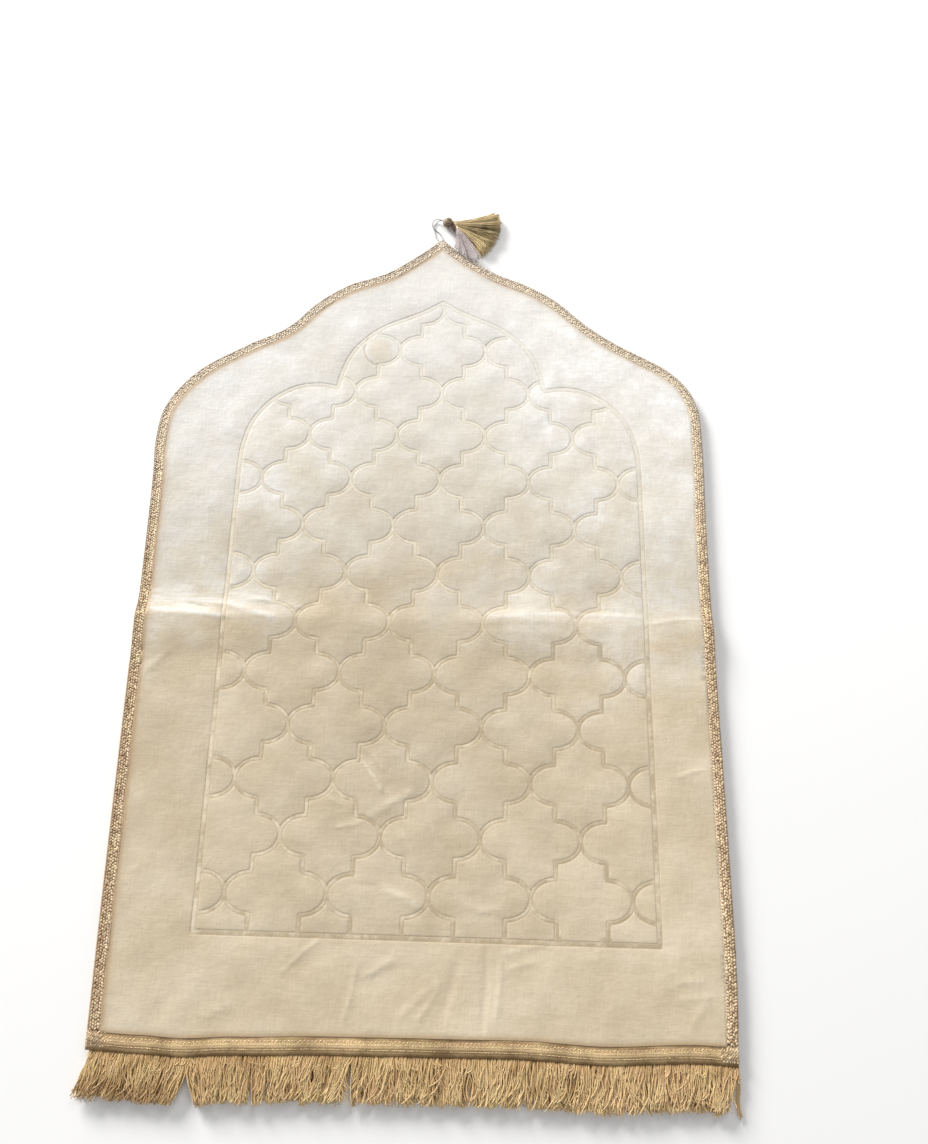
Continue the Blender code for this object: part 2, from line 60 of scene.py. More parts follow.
# %% Camera
camera_data = bpy.data.cameras.new("camera")
camera_data.sensor_fit = "HORIZONTAL"
camera_data.sensor_width = 36.0
camera_data.lens = 39.633
camera_data.shift_x = 0.02534
camera = bpy.data.objects.new("camera", camera_data)
camera.location = (0.0319, -0.41357, 1.19239)
camera.rotation_euler = Euler([math.radians(a) for a in (19.549, 0.219, 1.411)])
bpy.context.scene.collection.objects.link(camera)
bpy.context.scene.camera = camera
print("Camera height above the floor:", camera.location.z)

# %% [markdown]
# ## Lines
#
# Every trimming follows the rug's outline, so the outline is made once as a smooth line
# through a few measured points. The same helper serves the threads. Points of a line are
# rows of an array, which lets one sum move thousands of them.

# %% Smooth lines and tables


def smooth_line(knots, spacing):
    """Points on a smooth curve through the knots, about one spacing apart."""
    points = np.array(knots, dtype=float)
    first = 2.0 * points[0] - points[1]
    last = 2.0 * points[-1] - points[-2]
    points = np.vstack((first, points, last))
    line = [points[1]]
    for before, start, end, after in zip(points, points[1:], points[2:], points[3:]):
        steps = max(1, round(np.linalg.norm(end - start) / spacing))
        for t in np.arange(1, steps + 1) / steps:
            linear = (end - before) * t
            square = (2.0 * before - 5.0 * start + 4.0 * end - after) * t**2
            cube = (3.0 * start - before - 3.0 * end + after) * t**3
            line.append(0.5 * (2.0 * start + linear + square + cube))
    return np.array(line)


def eased(rows, x):
    """A two-column table's value at x, eased between its rows."""
    places, values = np.array(rows, dtype=float).T
    spot = np.interp(x, places, np.arange(len(places)))
    low = np.minimum(spot.astype(int), len(places) - 2)
    t = spot - low
    return values[low] + (values[low + 1] - values[low]) * t * t * (3.0 - 2.0 * t)


def running_length(line):
    """The length along a line up to each of its points."""
    steps = np.linalg.norm(np.diff(line, axis=0), axis=1)
    return np.concatenate(((0.0,), np.cumsum(steps)))


print("Helpers for lines and tables made")

# %% The outline of the rug
LEFT_EDGE = (
    (-0.3445, -0.5330),
    (-0.3475, -0.3750),
    (-0.3505, -0.1350),
    (-0.3510, -0.0660),
    (-0.3500, -0.0200),
    (-0.3520, 0.1200),
    (-0.3545, 0.1850),
    (-0.3450, 0.2350),
    (-0.3070, 0.2845),
    (-0.2470, 0.3235),
    (-0.1970, 0.3510),
    (-0.1570, 0.3920),
    (-0.1170, 0.4200),
    (-0.0670, 0.4400),
    (-0.0270, 0.4680),
    (0.0080, 0.4970),
)
RIGHT_EDGE = (
    (0.3435, -0.5310),
    (0.3480, -0.4250),
    (0.3475, -0.1250),
    (0.3472, -0.0680),
    (0.3465, -0.0250),
    (0.3470, 0.0750),
    (0.3490, 0.1800),
    (0.3440, 0.2470),
    (0.3130, 0.2925),
    (0.2430, 0.3345),
    (0.2030, 0.3635),
    (0.1630, 0.4005),
    (0.1230, 0.4245),
    (0.0830, 0.4420),
    (0.0430, 0.4670),
    (0.0080, 0.4970),
)
EDGE_SPACING = 0.002
left_side = smooth_line(LEFT_EDGE, EDGE_SPACING)
right_side = smooth_line(RIGHT_EDGE, EDGE_SPACING)
edge = np.vstack((left_side, right_side[-2::-1]))
edge_run = running_length(edge)
print("Length round the sides and the arch:", round(edge_run[-1], 3))

# %% The hem and the fold
HEM_Y = -0.5190
HEM_RISE = (
    (-0.350, 0.0005),
    (-0.287, -0.0020),
    (-0.247, -0.0040),
    (-0.187, -0.0010),
    (-0.087, 0.0015),
    (0.013, 0.0020),
    (0.113, 0.0025),
    (0.203, -0.0010),
    (0.303, 0.0030),
    (0.350, 0.0010),
)
FOLD_Y = -0.0570
FOLD_HEIGHT = (
    (-0.360, 0.0046),
    (-0.300, 0.0053),
    (-0.210, 0.0046),
    (-0.150, 0.0018),
    (0.020, 0.0009),
    (0.075, 0.0026),
    (0.130, 0.0042),
    (0.200, 0.0030),
    (0.360, 0.0036),
)
FOLD_FAR_WIDTH = 0.034
FOLD_NEAR_WIDTH = 0.056
CREST_SOFTNESS = 0.10


def hem_y(x):
    """How far up the rug the hem lies at x."""
    return HEM_Y + eased(HEM_RISE, x)


def fold_lift(x, y):
    """How far the fold across the middle raises the rug: steep beyond it, soft before."""
    away = y - FOLD_Y
    far = np.maximum(away, 0.0) / FOLD_FAR_WIDTH
    near = np.maximum(-away, 0.0) / FOLD_NEAR_WIDTH
    far = np.sqrt(far**2 + CREST_SOFTNESS**2) - CREST_SOFTNESS
    far_shape = np.clip(1.0 - far, 0.0, 1.0) ** 2
    near_shape = np.clip(1.0 - near**2, 0.0, 1.0) ** 2
    return eased(FOLD_HEIGHT, x) * far_shape * near_shape


print("The fold's highest lift:", round(float(fold_lift(-0.3, FOLD_Y)), 4))

# %% [markdown]
# ## Meshes
#
# The trimmings are made of thousands of stitches and yarns. Each kind is worked out as
# one array and becomes one mesh, which is far quicker than an object for each. A colour
# attribute called tint carries how light or dark every yarn is, and the materials read
# it, so no two neighbours look the same.

# %% Making a piece


def add_piece(name, points, faces, tint, material, slot, nodes):
    """One object from points and faces, riding on the rug and standing for its nodes."""
    mesh = bpy.data.meshes.new(name)
    mesh.from_pydata(np.asarray(points).tolist(), [], faces)
    mesh.polygons.foreach_set("use_smooth", [True] * len(mesh.polygons))
    if tint is not None:
        attribute = mesh.attributes.new("tint", "FLOAT", "POINT")
        attribute.data.foreach_set("value", np.asarray(tint, dtype=np.float32))
    mesh.materials.append(material)
    mesh.update()
    piece = bpy.data.objects.new(name, mesh)
    bpy.context.scene.collection.objects.link(piece)
    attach(piece, "root")
    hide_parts(*nodes)
    triangles = sum(len(face) - 2 for face in faces)
    print(f"{name}: {triangles} triangles")
    return piece


def unit(vectors):
    """Vectors of the same directions with length 1."""
    return vectors / np.maximum(np.linalg.norm(vectors, axis=-1, keepdims=True), 1e-9)


# %% Tubes and stitches


def tube_faces(count, rings, sides):
    """Faces of many closed tubes whose points run ring by ring."""
    index = np.arange(count * rings * sides).reshape(count, rings, sides)
    turned = np.roll(index, -1, axis=2)
    corners = (index[:, :-1], turned[:, :-1], turned[:, 1:], index[:, 1:])
    quads = np.stack(corners, axis=-1).reshape(-1, 4)
    caps = np.vstack((index[:, 0, ::-1], index[:, -1]))
    return quads.tolist() + caps.tolist()


def tubes_between(lines, radii, side, over, sides):
    """Many round tubes whose rings lie between two cross directions at every point."""
    angles = np.arange(sides) * TAU / sides
    across = np.cos(angles)[:, None] * side[:, :, None]
    across = across + np.sin(angles)[:, None] * over[:, :, None]
    points = lines[:, :, None] + across * radii[:, :, None, None]
    faces = tube_faces(lines.shape[0], lines.shape[1], sides)
    return points.reshape(-1, 3), faces


def tubes(lines, radii, sides, up=(0.0, 0.0, 1.0)):
    """Many round tubes at once. Lines are (tube, ring, xyz) and radii (tube, ring)."""
    along = unit(np.gradient(lines, axis=1))
    side = unit(np.cross(along, np.broadcast_to(up, along.shape)))
    return tubes_between(lines, radii, side, np.cross(side, along), sides)


STITCH_FULLNESS = 0.7


def stitch_shape(rings, sides):
    """Points and faces of a unit stitch: long along x, with rounded flanks and points."""
    points = [(-1.0, 0.0, 0.0)]
    for ring in range(1, rings + 1):
        turn = math.pi * ring / (rings + 1)
        width = math.sin(turn) ** STITCH_FULLNESS
        for side in range(sides):
            angle = TAU * side / sides
            points.append(
                (-math.cos(turn), width * math.cos(angle), width * math.sin(angle))
            )
    points.append((1.0, 0.0, 0.0))
    faces = []
    last = len(points) - 1
    for side in range(sides):
        other = (side + 1) % sides
        faces.append((0, 1 + other, 1 + side))
        for ring in range(rings - 1):
            low = 1 + ring * sides
            high = low + sides
            faces.append((low + side, low + other, high + other, high + side))
        top = 1 + (rings - 1) * sides
        faces.append((last, top + side, top + other))
    return np.array(points), faces


def flipped(faces):
    """The same faces, seen from their other side."""
    return [face[::-1] for face in faces]


def shifted(faces, first):
    """The same faces for points that start at a later number."""
    return [tuple(corner + first for corner in face) for face in faces]


def stitches(centers, along, across, sizes, rings, sides):
    """Many stitches: centers, directions and half sizes are arrays of rows."""
    shape, faces = stitch_shape(rings, sides)
    over = unit(np.cross(along, across))
    axes = np.stack((along, across, over), axis=1) * sizes[:, :, None]
    points = centers[:, None] + shape @ axes
    all_faces = []
    for index in range(len(centers)):
        all_faces += shifted(faces, index * len(shape))
    return points.reshape(-1, 3), all_faces


def leaning(along, across, turn):
    """Two directions, turned by an angle from the first towards the second."""
    forward = along * np.cos(turn) + across * np.sin(turn)
    sideways = across * np.cos(turn) - along * np.sin(turn)
    return forward, sideways


def joined(parts):
    """The points, faces and tints of several meshes as one mesh."""
    points, faces, tints = [], [], []
    total = 0
    for more, more_faces, more_tints in parts:
        points.append(more)
        faces += shifted(more_faces, total)
        tints.append(more_tints)
        total += len(more)
    return np.vstack(points), faces, np.concatenate(tints)


print("A braid stitch has", len(stitch_shape(4, 8)[0]), "points")

# %% [markdown]
# ## Shared effects for the materials
#
# Every gold trimming is spun from fine shiny fibres. Seen close, such yarn has small
# flecks, broader patches of tone and a slow drift of hue, and towards the arch it is
# painted paler, a painted reflection of the light that it mirrors there. Each material
# could have its own noises, but one node group makes all of this for every yarn and gives
# out a colour and a height for bump. Noise is the base, since it never repeats. Each
# material then has its own colours.

# %% Small helpers for node trees


def new_group(name, inputs, outputs):
    """An empty node group with named sockets, and its two end nodes."""
    group = bpy.data.node_groups.new(name, "ShaderNodeTree")
    for label, kind, value in inputs:
        socket = group.interface.new_socket(label, in_out="INPUT", socket_type=kind)
        if value is not None:
            socket.default_value = value
    for label, kind in outputs:
        group.interface.new_socket(label, in_out="OUTPUT", socket_type=kind)
    start = group.nodes.new("NodeGroupInput")
    end = group.nodes.new("NodeGroupOutput")
    return group, start, end


def fill_socket(tree, socket, value):
    """Link a socket to another one, or set its number or colour."""
    if isinstance(value, bpy.types.NodeSocket):
        tree.links.new(value, socket)
    elif isinstance(value, tuple) and len(value) == 3 and socket.type == "RGBA":
        socket.default_value = (*value, 1.0)
    else:
        socket.default_value = value


def add_node(tree, kind, settings=None, **values):
    """A node with its settings made and its named inputs set or linked."""
    node = tree.nodes.new(kind)
    for key, value in (settings or {}).items():
        setattr(node, key, value)
    for key, value in values.items():
        label = key.replace("_", " ")
        socket = next(s for s in node.inputs if s.name == label and s.enabled)
        fill_socket(tree, socket, value)
    return node


def math_node(tree, operation, *values):
    """A sum of one to three numbers or sockets."""
    node = tree.nodes.new("ShaderNodeMath")
    node.operation = operation
    for socket, value in zip(node.inputs, values):
        fill_socket(tree, socket, value)
    return node.outputs[0]


def mix_colors(tree, factor, first, second, blend="MIX"):
    """A colour mix of two colours or sockets."""
    node = tree.nodes.new("ShaderNodeMix")
    node.data_type = "RGBA"
    node.blend_type = blend
    fill_socket(tree, node.inputs[0], factor)
    fill_socket(tree, node.inputs[6], first)
    fill_socket(tree, node.inputs[7], second)
    return node.outputs[2]


def ramp(tree, value, low, high):
    """A number moved from the range low to high to the range 0 to 1."""
    node = tree.nodes.new("ShaderNodeMapRange")
    node.inputs["From Min"].default_value = low
    node.inputs["From Max"].default_value = high
    tree.links.new(value, node.inputs["Value"])
    return node.outputs["Result"]


print("Helpers for node trees made")

# %% Fibre group
# How far up the rug the painted reflection starts and is full, and its colour.
REFLECTION_FROM = -0.02
REFLECTION_TO = 0.30
REFLECTION_TONE = (0.60, 0.56, 0.50)
fibre, fibre_in, fibre_out = new_group(
    "spun_fibre",
    (
        ("Tint", "NodeSocketFloat", 1.0),
        ("Dark", "NodeSocketColor", (0.2, 0.1, 0.04, 1.0)),
        ("Light", "NodeSocketColor", (0.8, 0.6, 0.3, 1.0)),
        ("Scale", "NodeSocketFloat", 900.0),
        ("Patch", "NodeSocketFloat", 60.0),
        ("Haze", "NodeSocketFloat", 0.0),
        ("Fleck", "NodeSocketFloat", 0.9),
    ),
    (("Color", "NodeSocketColor"), ("Height", "NodeSocketFloat")),
)
place = fibre.nodes.new("ShaderNodeTexCoord").outputs["Object"]


def fibre_noise(scale, detail):
    """Noise over the whole object, finer with a larger scale."""
    return add_node(fibre, "ShaderNodeTexNoise", Vector=place, Scale=scale, Detail=detail)


fine = fibre_noise(fibre_in.outputs["Scale"], 3.0)
broad = fibre_noise(fibre_in.outputs["Patch"], 2.0)
fine_part = math_node(fibre, "SUBTRACT", fine.outputs["Fac"], 0.5)
fine_part = math_node(fibre, "MULTIPLY", fine_part, fibre_in.outputs["Fleck"])
broad_part = math_node(fibre, "MULTIPLY_ADD", broad.outputs["Fac"], 1.1, -0.55)
shade = math_node(fibre, "ADD", fibre_in.outputs["Tint"], fine_part)
shade = math_node(fibre, "ADD", shade, broad_part)
shade = ramp(fibre, shade, 0.0, 1.5)
mixed = mix_colors(fibre, shade, fibre_in.outputs["Dark"], fibre_in.outputs["Light"])
drift = fibre_noise(38.0, 2.0)
hue = math_node(fibre, "MULTIPLY_ADD", drift.outputs["Fac"], 0.032, 0.484)
mixed = add_node(fibre, "ShaderNodeHueSaturation", Hue=hue, Color=mixed).outputs["Color"]
up_the_rug = add_node(fibre, "ShaderNodeSeparateXYZ", Vector=place).outputs["Y"]
# Towards the arch the yarn is painted paler: a painted reflection of the light there.
up_to_reflection = ramp(fibre, up_the_rug, REFLECTION_FROM, REFLECTION_TO)
reflection = math_node(fibre, "MULTIPLY", up_to_reflection, fibre_in.outputs["Haze"])
mixed = mix_colors(fibre, reflection, mixed, REFLECTION_TONE)
fibre.links.new(mixed, fibre_out.inputs["Color"])
fibre.links.new(fine.outputs["Fac"], fibre_out.inputs["Height"])
print("Fibre group nodes:", len(fibre.nodes))

# %% Materials from the fibre group


def new_material(name):
    """A material with its shader, ready for nodes."""
    material = bpy.data.materials.new(name)
    material.use_nodes = True
    tree = material.node_tree
    return material, tree, tree.nodes["Principled BSDF"]


def use_bump(tree, shader, height, strength, distance):
    """A bump from a height, for a shader's normal."""
    bump = add_node(
        tree, "ShaderNodeBump", Height=height, Strength=strength, Distance=distance
    )
    tree.links.new(bump.outputs["Normal"], shader.inputs["Normal"])


def point_mask(tree, name):
    """A number that is painted on the points of a mesh."""
    return add_node(tree, "ShaderNodeAttribute", {"attribute_name": name}).outputs["Fac"]


YARN_BUMP = (0.35, 0.0004)


def yarn_material(name, dark, light, roughness, metallic, scale=900.0, patch=60.0, reflection=0.0):
    """Shiny spun yarn whose tone follows the tint of each yarn."""
    material, tree, shader = new_material(name)
    tint = point_mask(tree, "tint")
    group = tree.nodes.new("ShaderNodeGroup")
    group.node_tree = fibre
    group.inputs["Dark"].default_value = (*dark, 1.0)
    group.inputs["Light"].default_value = (*light, 1.0)
    group.inputs["Scale"].default_value = scale
    group.inputs["Patch"].default_value = patch
    group.inputs["Haze"].default_value = reflection
    tree.links.new(tint, group.inputs["Tint"])
    tree.links.new(group.outputs["Color"], shader.inputs["Base Color"])
    shader.inputs["Roughness"].default_value = roughness
    shader.inputs["Metallic"].default_value = metallic
    use_bump(tree, shader, group.outputs["Height"], *YARN_BUMP)
    return material


thread_finish = yarn_material(
    "grey_thread", (0.20, 0.19, 0.20), (0.62, 0.60, 0.60), 0.42, 0.0
)
print("Thread finish made")

# %% [markdown]
# ## The thread that ties the tassel
#
# A doubled thread comes out from under the point of the arch, is knotted once and goes
# round to the tassel's head. It could be one thick tube, but the two fine threads part
# and meet again, and that is what one notices. So each is a thin tube of its own along
# its own line.

# %% Threads from the arch to the tassel
THREAD_RADIUS = 0.00065
THREAD_SPACING = 0.0008
THREAD_SIDES = 6
THREAD_TINT = 0.45
THREAD_LINES = {
    "tie_thread_left": (
        (0.0030, 0.4950, 0.0050),
        (-0.0008, 0.5025, 0.0030),
        (-0.0022, 0.5100, 0.0014),
        (-0.0040, 0.5172, 0.0009),
        (-0.0062, 0.5228, 0.0009),
        (-0.0072, 0.5285, 0.0012),
        (-0.0050, 0.5332, 0.0022),
        (-0.0005, 0.5346, 0.0034),
        (0.0045, 0.5330, 0.0050),
        (0.0083, 0.5302, 0.0061),
    ),
    "tie_thread_right": (
        (0.0098, 0.4962, 0.0050),
        (0.0078, 0.5038, 0.0030),
        (0.0040, 0.5120, 0.0014),
        (-0.0008, 0.5168, 0.0010),
        (-0.0044, 0.5200, 0.0021),
        (-0.0042, 0.5250, 0.0012),
        (-0.0020, 0.5296, 0.0014),
        (0.0018, 0.5322, 0.0030),
        (0.0055, 0.5318, 0.0046),
        (0.0086, 0.5294, 0.0058),
    ),
}


def add_thread(name, route):
    """One thread along its route, as a thin tube."""
    line = smooth_line(route, THREAD_SPACING)
    radii = np.full((1, len(line)), THREAD_RADIUS)
    points, faces = tubes(line[None], radii, THREAD_SIDES)
    tint = np.full(len(points), THREAD_TINT)
    piece = add_piece(name, points, faces, tint, thread_finish, "thread", ["tassel_thread"])


for thread_name, thread_route in THREAD_LINES.items():
    add_thread(thread_name, thread_route)

# %% [markdown]
# ## The velvet pad
#
# The pad is a sandwich of velvet and wadding. Heat and pressure have sunk a trellis of
# channels into it, and the velvet swells softly between them. Each channel is a shallow
# band between two fine grooves. A plain grid with displacement would need millions of
# faces to draw the grooves sharply. Here the points are set in rows beside each channel
# and spread out elsewhere, a Delaunay triangulation joins them, and the height of each
# comes from its distance to the nearest channel.

# %% The lines of the trellis
TRELLIS_X = 0.0130
TRELLIS_Y = -0.3750
COLUMN = 0.0565
ROW = 0.0630
CELL_STEP = 0.0185
COLUMNS = range(-6, 7)
ROWS = range(-2, 14)
LINE_STEP = 0.0026


def arc(center, radius, start, end, spacing):
    """Points on an ellipse's arc about one spacing apart, both ends included."""
    steps = max(2, round(abs(end - start) * sum(radius) / 2.0 / spacing))
    turns = np.linspace(start, end, steps + 1)
    x = center[0] + radius[0] * np.cos(turns)
    y = center[1] + radius[1] * np.sin(turns)
    return np.column_stack((x, y))


def cell_side(spacing):
    """From a cell's side point up over the step to its top point."""
    wide = COLUMN / 2.0
    tall = (ROW - CELL_STEP) / 2.0
    lobe = arc((wide, 0.0), (wide, tall), 0.0, math.pi / 2.0, spacing)
    steps = max(2, round(CELL_STEP / spacing))
    rise = np.linspace(tall, ROW - tall, steps + 1)[1:-1]
    step = np.column_stack((np.full(len(rise), wide), rise))
    hollow = arc((wide, ROW), (wide, tall), 1.5 * math.pi, math.pi, spacing)
    return np.vstack((lobe, step, hollow))


def trellis_lines(spacing):
    """Both sides of every cell, over every second place of the repeat."""
    lines = []
    side = cell_side(spacing)
    for row in ROWS:
        for column in COLUMNS:
            if (row + column) % 2:
                middle = np.array((TRELLIS_X + column * COLUMN, TRELLIS_Y + row * ROW))
                lines.append(side + middle)
                lines.append(side * (-1.0, 1.0) + middle)
    return lines


print("Trellis lines:", len(trellis_lines(LINE_STEP)))

# %% The line of the frame
FRAME_X = 0.0115
FRAME_HALF_WIDTH = 0.2550
FRAME_FEET = (-0.0422, -0.0450)
FRAME_ARCH = (
    (0.0000, 0.7685),
    (0.0200, 0.7555),
    (0.0450, 0.7435),
    (0.0750, 0.7295),
    (0.1000, 0.7105),
    (0.1200, 0.6850),
    (0.1310, 0.6560),
    (0.1350, 0.6355),
)
FRAME_LOBE = (
    (0.1350, 0.6355),
    (0.1600, 0.6390),
    (0.1900, 0.6335),
    (0.2200, 0.6145),
    (0.2425, 0.5850),
    (0.2530, 0.5480),
    (0.2550, 0.5100),
)


def frame_line(spacing):
    """The pressed frame as one closed line from its left foot over the arch."""
    arch = smooth_line(FRAME_ARCH, spacing)
    lobe = smooth_line(FRAME_LOBE, spacing)
    half = np.vstack((arch, lobe[1:]))
    left = half[:0:-1] * (-1.0, 1.0)
    feet = [(-FRAME_HALF_WIDTH, FRAME_FEET[0]), (FRAME_HALF_WIDTH, FRAME_FEET[1])]
    corners = np.vstack((feet[0], left, half, feet[1], feet[0]))
    run = running_length(corners)
    stations = np.union1d(np.arange(0.0, run[-1], spacing), run)
    x = np.interp(stations, run, corners[:, 0])
    y = np.interp(stations, run, corners[:, 1])
    return np.column_stack((x + FRAME_X, y + TRELLIS_Y))


def inside_loop(points, loop):
    """Which points lie inside a closed line."""
    x, y = points[:, 0], points[:, 1]
    found = np.zeros(len(points), dtype=bool)
    for (x1, y1), (x2, y2) in zip(loop, np.roll(loop, -1, axis=0)):
        if y1 == y2:
            continue
        crosses = (y1 > y) != (y2 > y)
        found ^= crosses & (x < (x2 - x1) * (y - y1) / (y2 - y1) + x1)
    return found


frame_loop = frame_line(LINE_STEP)
print("Length of the frame line:", round(running_length(frame_loop)[-1], 3))

# %% Distances to the lines
# A short stray crease, pressed into a cell near the arch, has a line of its own.
FINE_STEP = 0.0006
STRAY_CREASE = smooth_line(
    (
        (-0.0880, 0.3370),
        (-0.0915, 0.3240),
        (-0.0905, 0.3120),
        (-0.0860, 0.3020),
        (-0.0780, 0.2960),
    ),
    FINE_STEP,
)
FRAME_CLEAR = 0.0034


def tree_of(points):
    """A search tree that finds the nearest of many points quickly."""
    tree = KDTree(len(points))
    for index, (x, y) in enumerate(points):
        tree.insert((x, y, 0.0), index)
    tree.balance()
    return tree


def distance(tree, points):
    """How far each point is from the nearest one in the tree."""
    return np.array([tree.find((x, y, 0.0))[2] for x, y in points])


frame_tree = tree_of(frame_line(FINE_STEP))


def in_frame(line):
    """The points of a line that lie inside the frame and clear of its channel."""
    line = line[inside_loop(line, frame_loop)]
    return line[distance(frame_tree, line) > FRAME_CLEAR] if len(line) else line


fine_trellis = in_frame(np.vstack(trellis_lines(FINE_STEP)))
trellis_tree = tree_of(fine_trellis)
edge_tree = tree_of(edge)
crease_tree = tree_of(STRAY_CREASE)
edge_along = unit(np.gradient(edge, axis=0))
edge_inward = np.column_stack((edge_along[:, 1], -edge_along[:, 0]))
FAR = 1.0


def from_trellis_at(points):
    """How far points inside the frame are from the trellis. Outside it that is far."""
    return np.where(inside_loop(points, frame_loop), distance(trellis_tree, points), FAR)


print("Points on the trellis:", len(fine_trellis))

# %% Rows of points beside a line


def beside(line, offsets):
    """The line's points moved to both sides by each offset."""
    along = unit(np.gradient(line, axis=0))
    normal = np.column_stack((-along[:, 1], along[:, 0]))
    rows = [line]
    for offset in offsets:
        rows.append(line + normal * offset)
        rows.append(line - normal * offset)
    return np.vstack(rows)


TRELLIS_OFFSETS = (0.0013, 0.0018, 0.0022, 0.0027, 0.0034, 0.0050)
FRAME_OFFSETS = (0.0018, 0.0023, 0.0028, 0.0033, 0.0041, 0.0058)
STRAY_OFFSETS = (0.0009, 0.0020, 0.0034)
NEARER = 0.0003


def kept_beside(line, offsets, tree):
    """Points beside a line, without those that another line comes nearer to."""
    points = beside(line, offsets)
    wanted = [np.zeros(len(line))]
    for offset in offsets:
        wanted.append(np.full(2 * len(line), offset))
    return points[distance(tree, points) > np.concatenate(wanted) - NEARER]


channel_points = [kept_beside(frame_loop, FRAME_OFFSETS, frame_tree)]
for line in trellis_lines(LINE_STEP):
    line = in_frame(line)
    if len(line) > 2:
        channel_points.append(kept_beside(line, TRELLIS_OFFSETS, trellis_tree))
channel_points.append(kept_beside(STRAY_CREASE[::2], STRAY_OFFSETS, crease_tree))
channel_points = np.vstack(channel_points)
print("Points beside the channels:", len(channel_points))

# %% [markdown]
# ## Creases in the velvet
#
# The rug was folded across its middle, and small creases lie along that fold and are
# scattered over its lower half. A cloth simulation would make creases, but not these, in
# their places. So each is one row of a table: a soft ridge or hollow between two points,
# slightly bowed. Its shine is added later by the material, as a painted highlight.

# %% Soft creases
# Each crease: its two ends, half width, height (a hollow if negative) and the strength
# of its painted highlight. The first rows lie along the fold, the rest are scattered
# below it, and the last two above.
CREASES = (
    (-0.3360, -0.0400, -0.2560, -0.0330, 0.0150, 0.0005, 0.80),
    (-0.3320, -0.0500, -0.2460, -0.0570, 0.0042, 0.0004, 0.75),
    (-0.3300, -0.0300, -0.2500, -0.0170, 0.0100, 0.0003, 0.60),
    (-0.2400, -0.0380, -0.1960, -0.0330, 0.0080, 0.0002, 0.45),
    (-0.3290, -0.0860, -0.3270, -0.1330, 0.0110, 0.0001, 0.30),
    (-0.2460, -0.0420, -0.1880, -0.0560, 0.0046, 0.0006, 0.80),
    (-0.2090, -0.0345, -0.1840, -0.0365, 0.0026, 0.0004, 0.75),
    (-0.1760, -0.0410, -0.1520, -0.0430, 0.0022, 0.0004, 0.50),
    (-0.2850, -0.0430, -0.2680, -0.0470, 0.0024, -0.0007, 0.0),
    (0.0840, -0.0490, 0.1710, -0.0450, 0.0052, 0.0006, 0.60),
    (0.1020, -0.0250, 0.1520, -0.0330, 0.0080, 0.0004, 0.35),
    (0.1880, -0.0466, 0.2620, -0.0475, 0.0028, 0.0004, 0.32),
    (0.2780, -0.0540, 0.3300, -0.0480, 0.0026, 0.0004, 0.35),
    (0.0840, -0.0632, 0.1700, -0.0612, 0.0060, -0.0005, 0.0),
    (-0.0700, -0.2239, -0.0451, -0.2580, 0.0026, 0.0008, 0.50),
    (-0.0630, -0.2205, -0.0380, -0.2550, 0.0034, -0.0005, 0.0),
    (-0.0537, -0.2211, -0.0437, -0.2349, 0.0020, 0.0003, 0.22),
    (-0.0508, -0.2854, -0.0146, -0.2641, 0.0050, 0.0007, 0.30),
    (-0.0913, -0.3021, -0.0686, -0.2971, 0.0028, 0.0004, 0.30),
    (-0.1024, -0.2708, -0.0858, -0.2772, 0.0034, 0.0003, 0.18),
    (0.0140, -0.2951, 0.0239, -0.3215, 0.0034, 0.0004, 0.15),
    (-0.0176, -0.3092, -0.0030, -0.3354, 0.0034, 0.0004, 0.15),
    (-0.0320, -0.3690, -0.0015, -0.3828, 0.0056, 0.0009, 0.38),
    (-0.0697, -0.3631, -0.0198, -0.3705, 0.0036, -0.0004, 0.0),
    (0.0545, -0.3836, 0.0679, -0.3862, 0.0040, 0.0004, 0.26),
    (0.0724, -0.3887, 0.0903, -0.3870, 0.0042, 0.0005, 0.30),
    (-0.1396, -0.4530, -0.1064, -0.4233, 0.0028, 0.0004, 0.16),
    (-0.1117, -0.4441, -0.0946, -0.4355, 0.0090, -0.0006, 0.0),
    (-0.0629, -0.4511, -0.0733, -0.4998, 0.0030, 0.0004, 0.12),
    (-0.0473, -0.4548, -0.0259, -0.4420, 0.0044, 0.0006, 0.22),
    (-0.0556, -0.4652, -0.0361, -0.4607, 0.0090, -0.0006, 0.0),
    (0.0233, -0.4734, 0.0067, -0.4978, 0.0038, 0.0005, 0.18),
    (-0.0108, -0.4942, 0.0231, -0.4653, 0.0040, 0.0004, 0.14),
    (0.0446, -0.4485, 0.0324, -0.4892, 0.0046, -0.0006, 0.0),
    (0.0773, -0.4354, 0.0737, -0.5040, 0.0038, -0.0006, 0.0),
    (0.0928, -0.4432, 0.0887, -0.4957, 0.0034, 0.0005, 0.14),
    (0.1015, -0.4306, 0.1368, -0.4215, 0.0034, 0.0004, 0.18),
    (0.1038, -0.4470, 0.1257, -0.4403, 0.0034, 0.0004, 0.16),
    (-0.2207, -0.4995, -0.1977, -0.4909, 0.0052, 0.0005, 0.24),
    (-0.2710, -0.4967, -0.2555, -0.4803, 0.0090, -0.0006, 0.0),
    (0.2848, -0.4568, 0.3067, -0.4542, 0.0036, 0.0004, 0.20),
    (0.2882, -0.4728, 0.3144, -0.4702, 0.0032, 0.0004, 0.18),
    (0.2952, -0.5025, 0.3117, -0.4782, 0.0046, 0.0004, 0.16),
    (0.2989, -0.2359, 0.3202, -0.2285, 0.0030, 0.0004, 0.20),
    (-0.3290, -0.1265, -0.3074, -0.1036, 0.0040, 0.0004, 0.18),
    (-0.2773, 0.0855, -0.2762, 0.0053, 0.0020, 0.0001, 0.14),
    (-0.2773, 0.0855, -0.2590, 0.0921, 0.0018, 0.0001, 0.10),
)
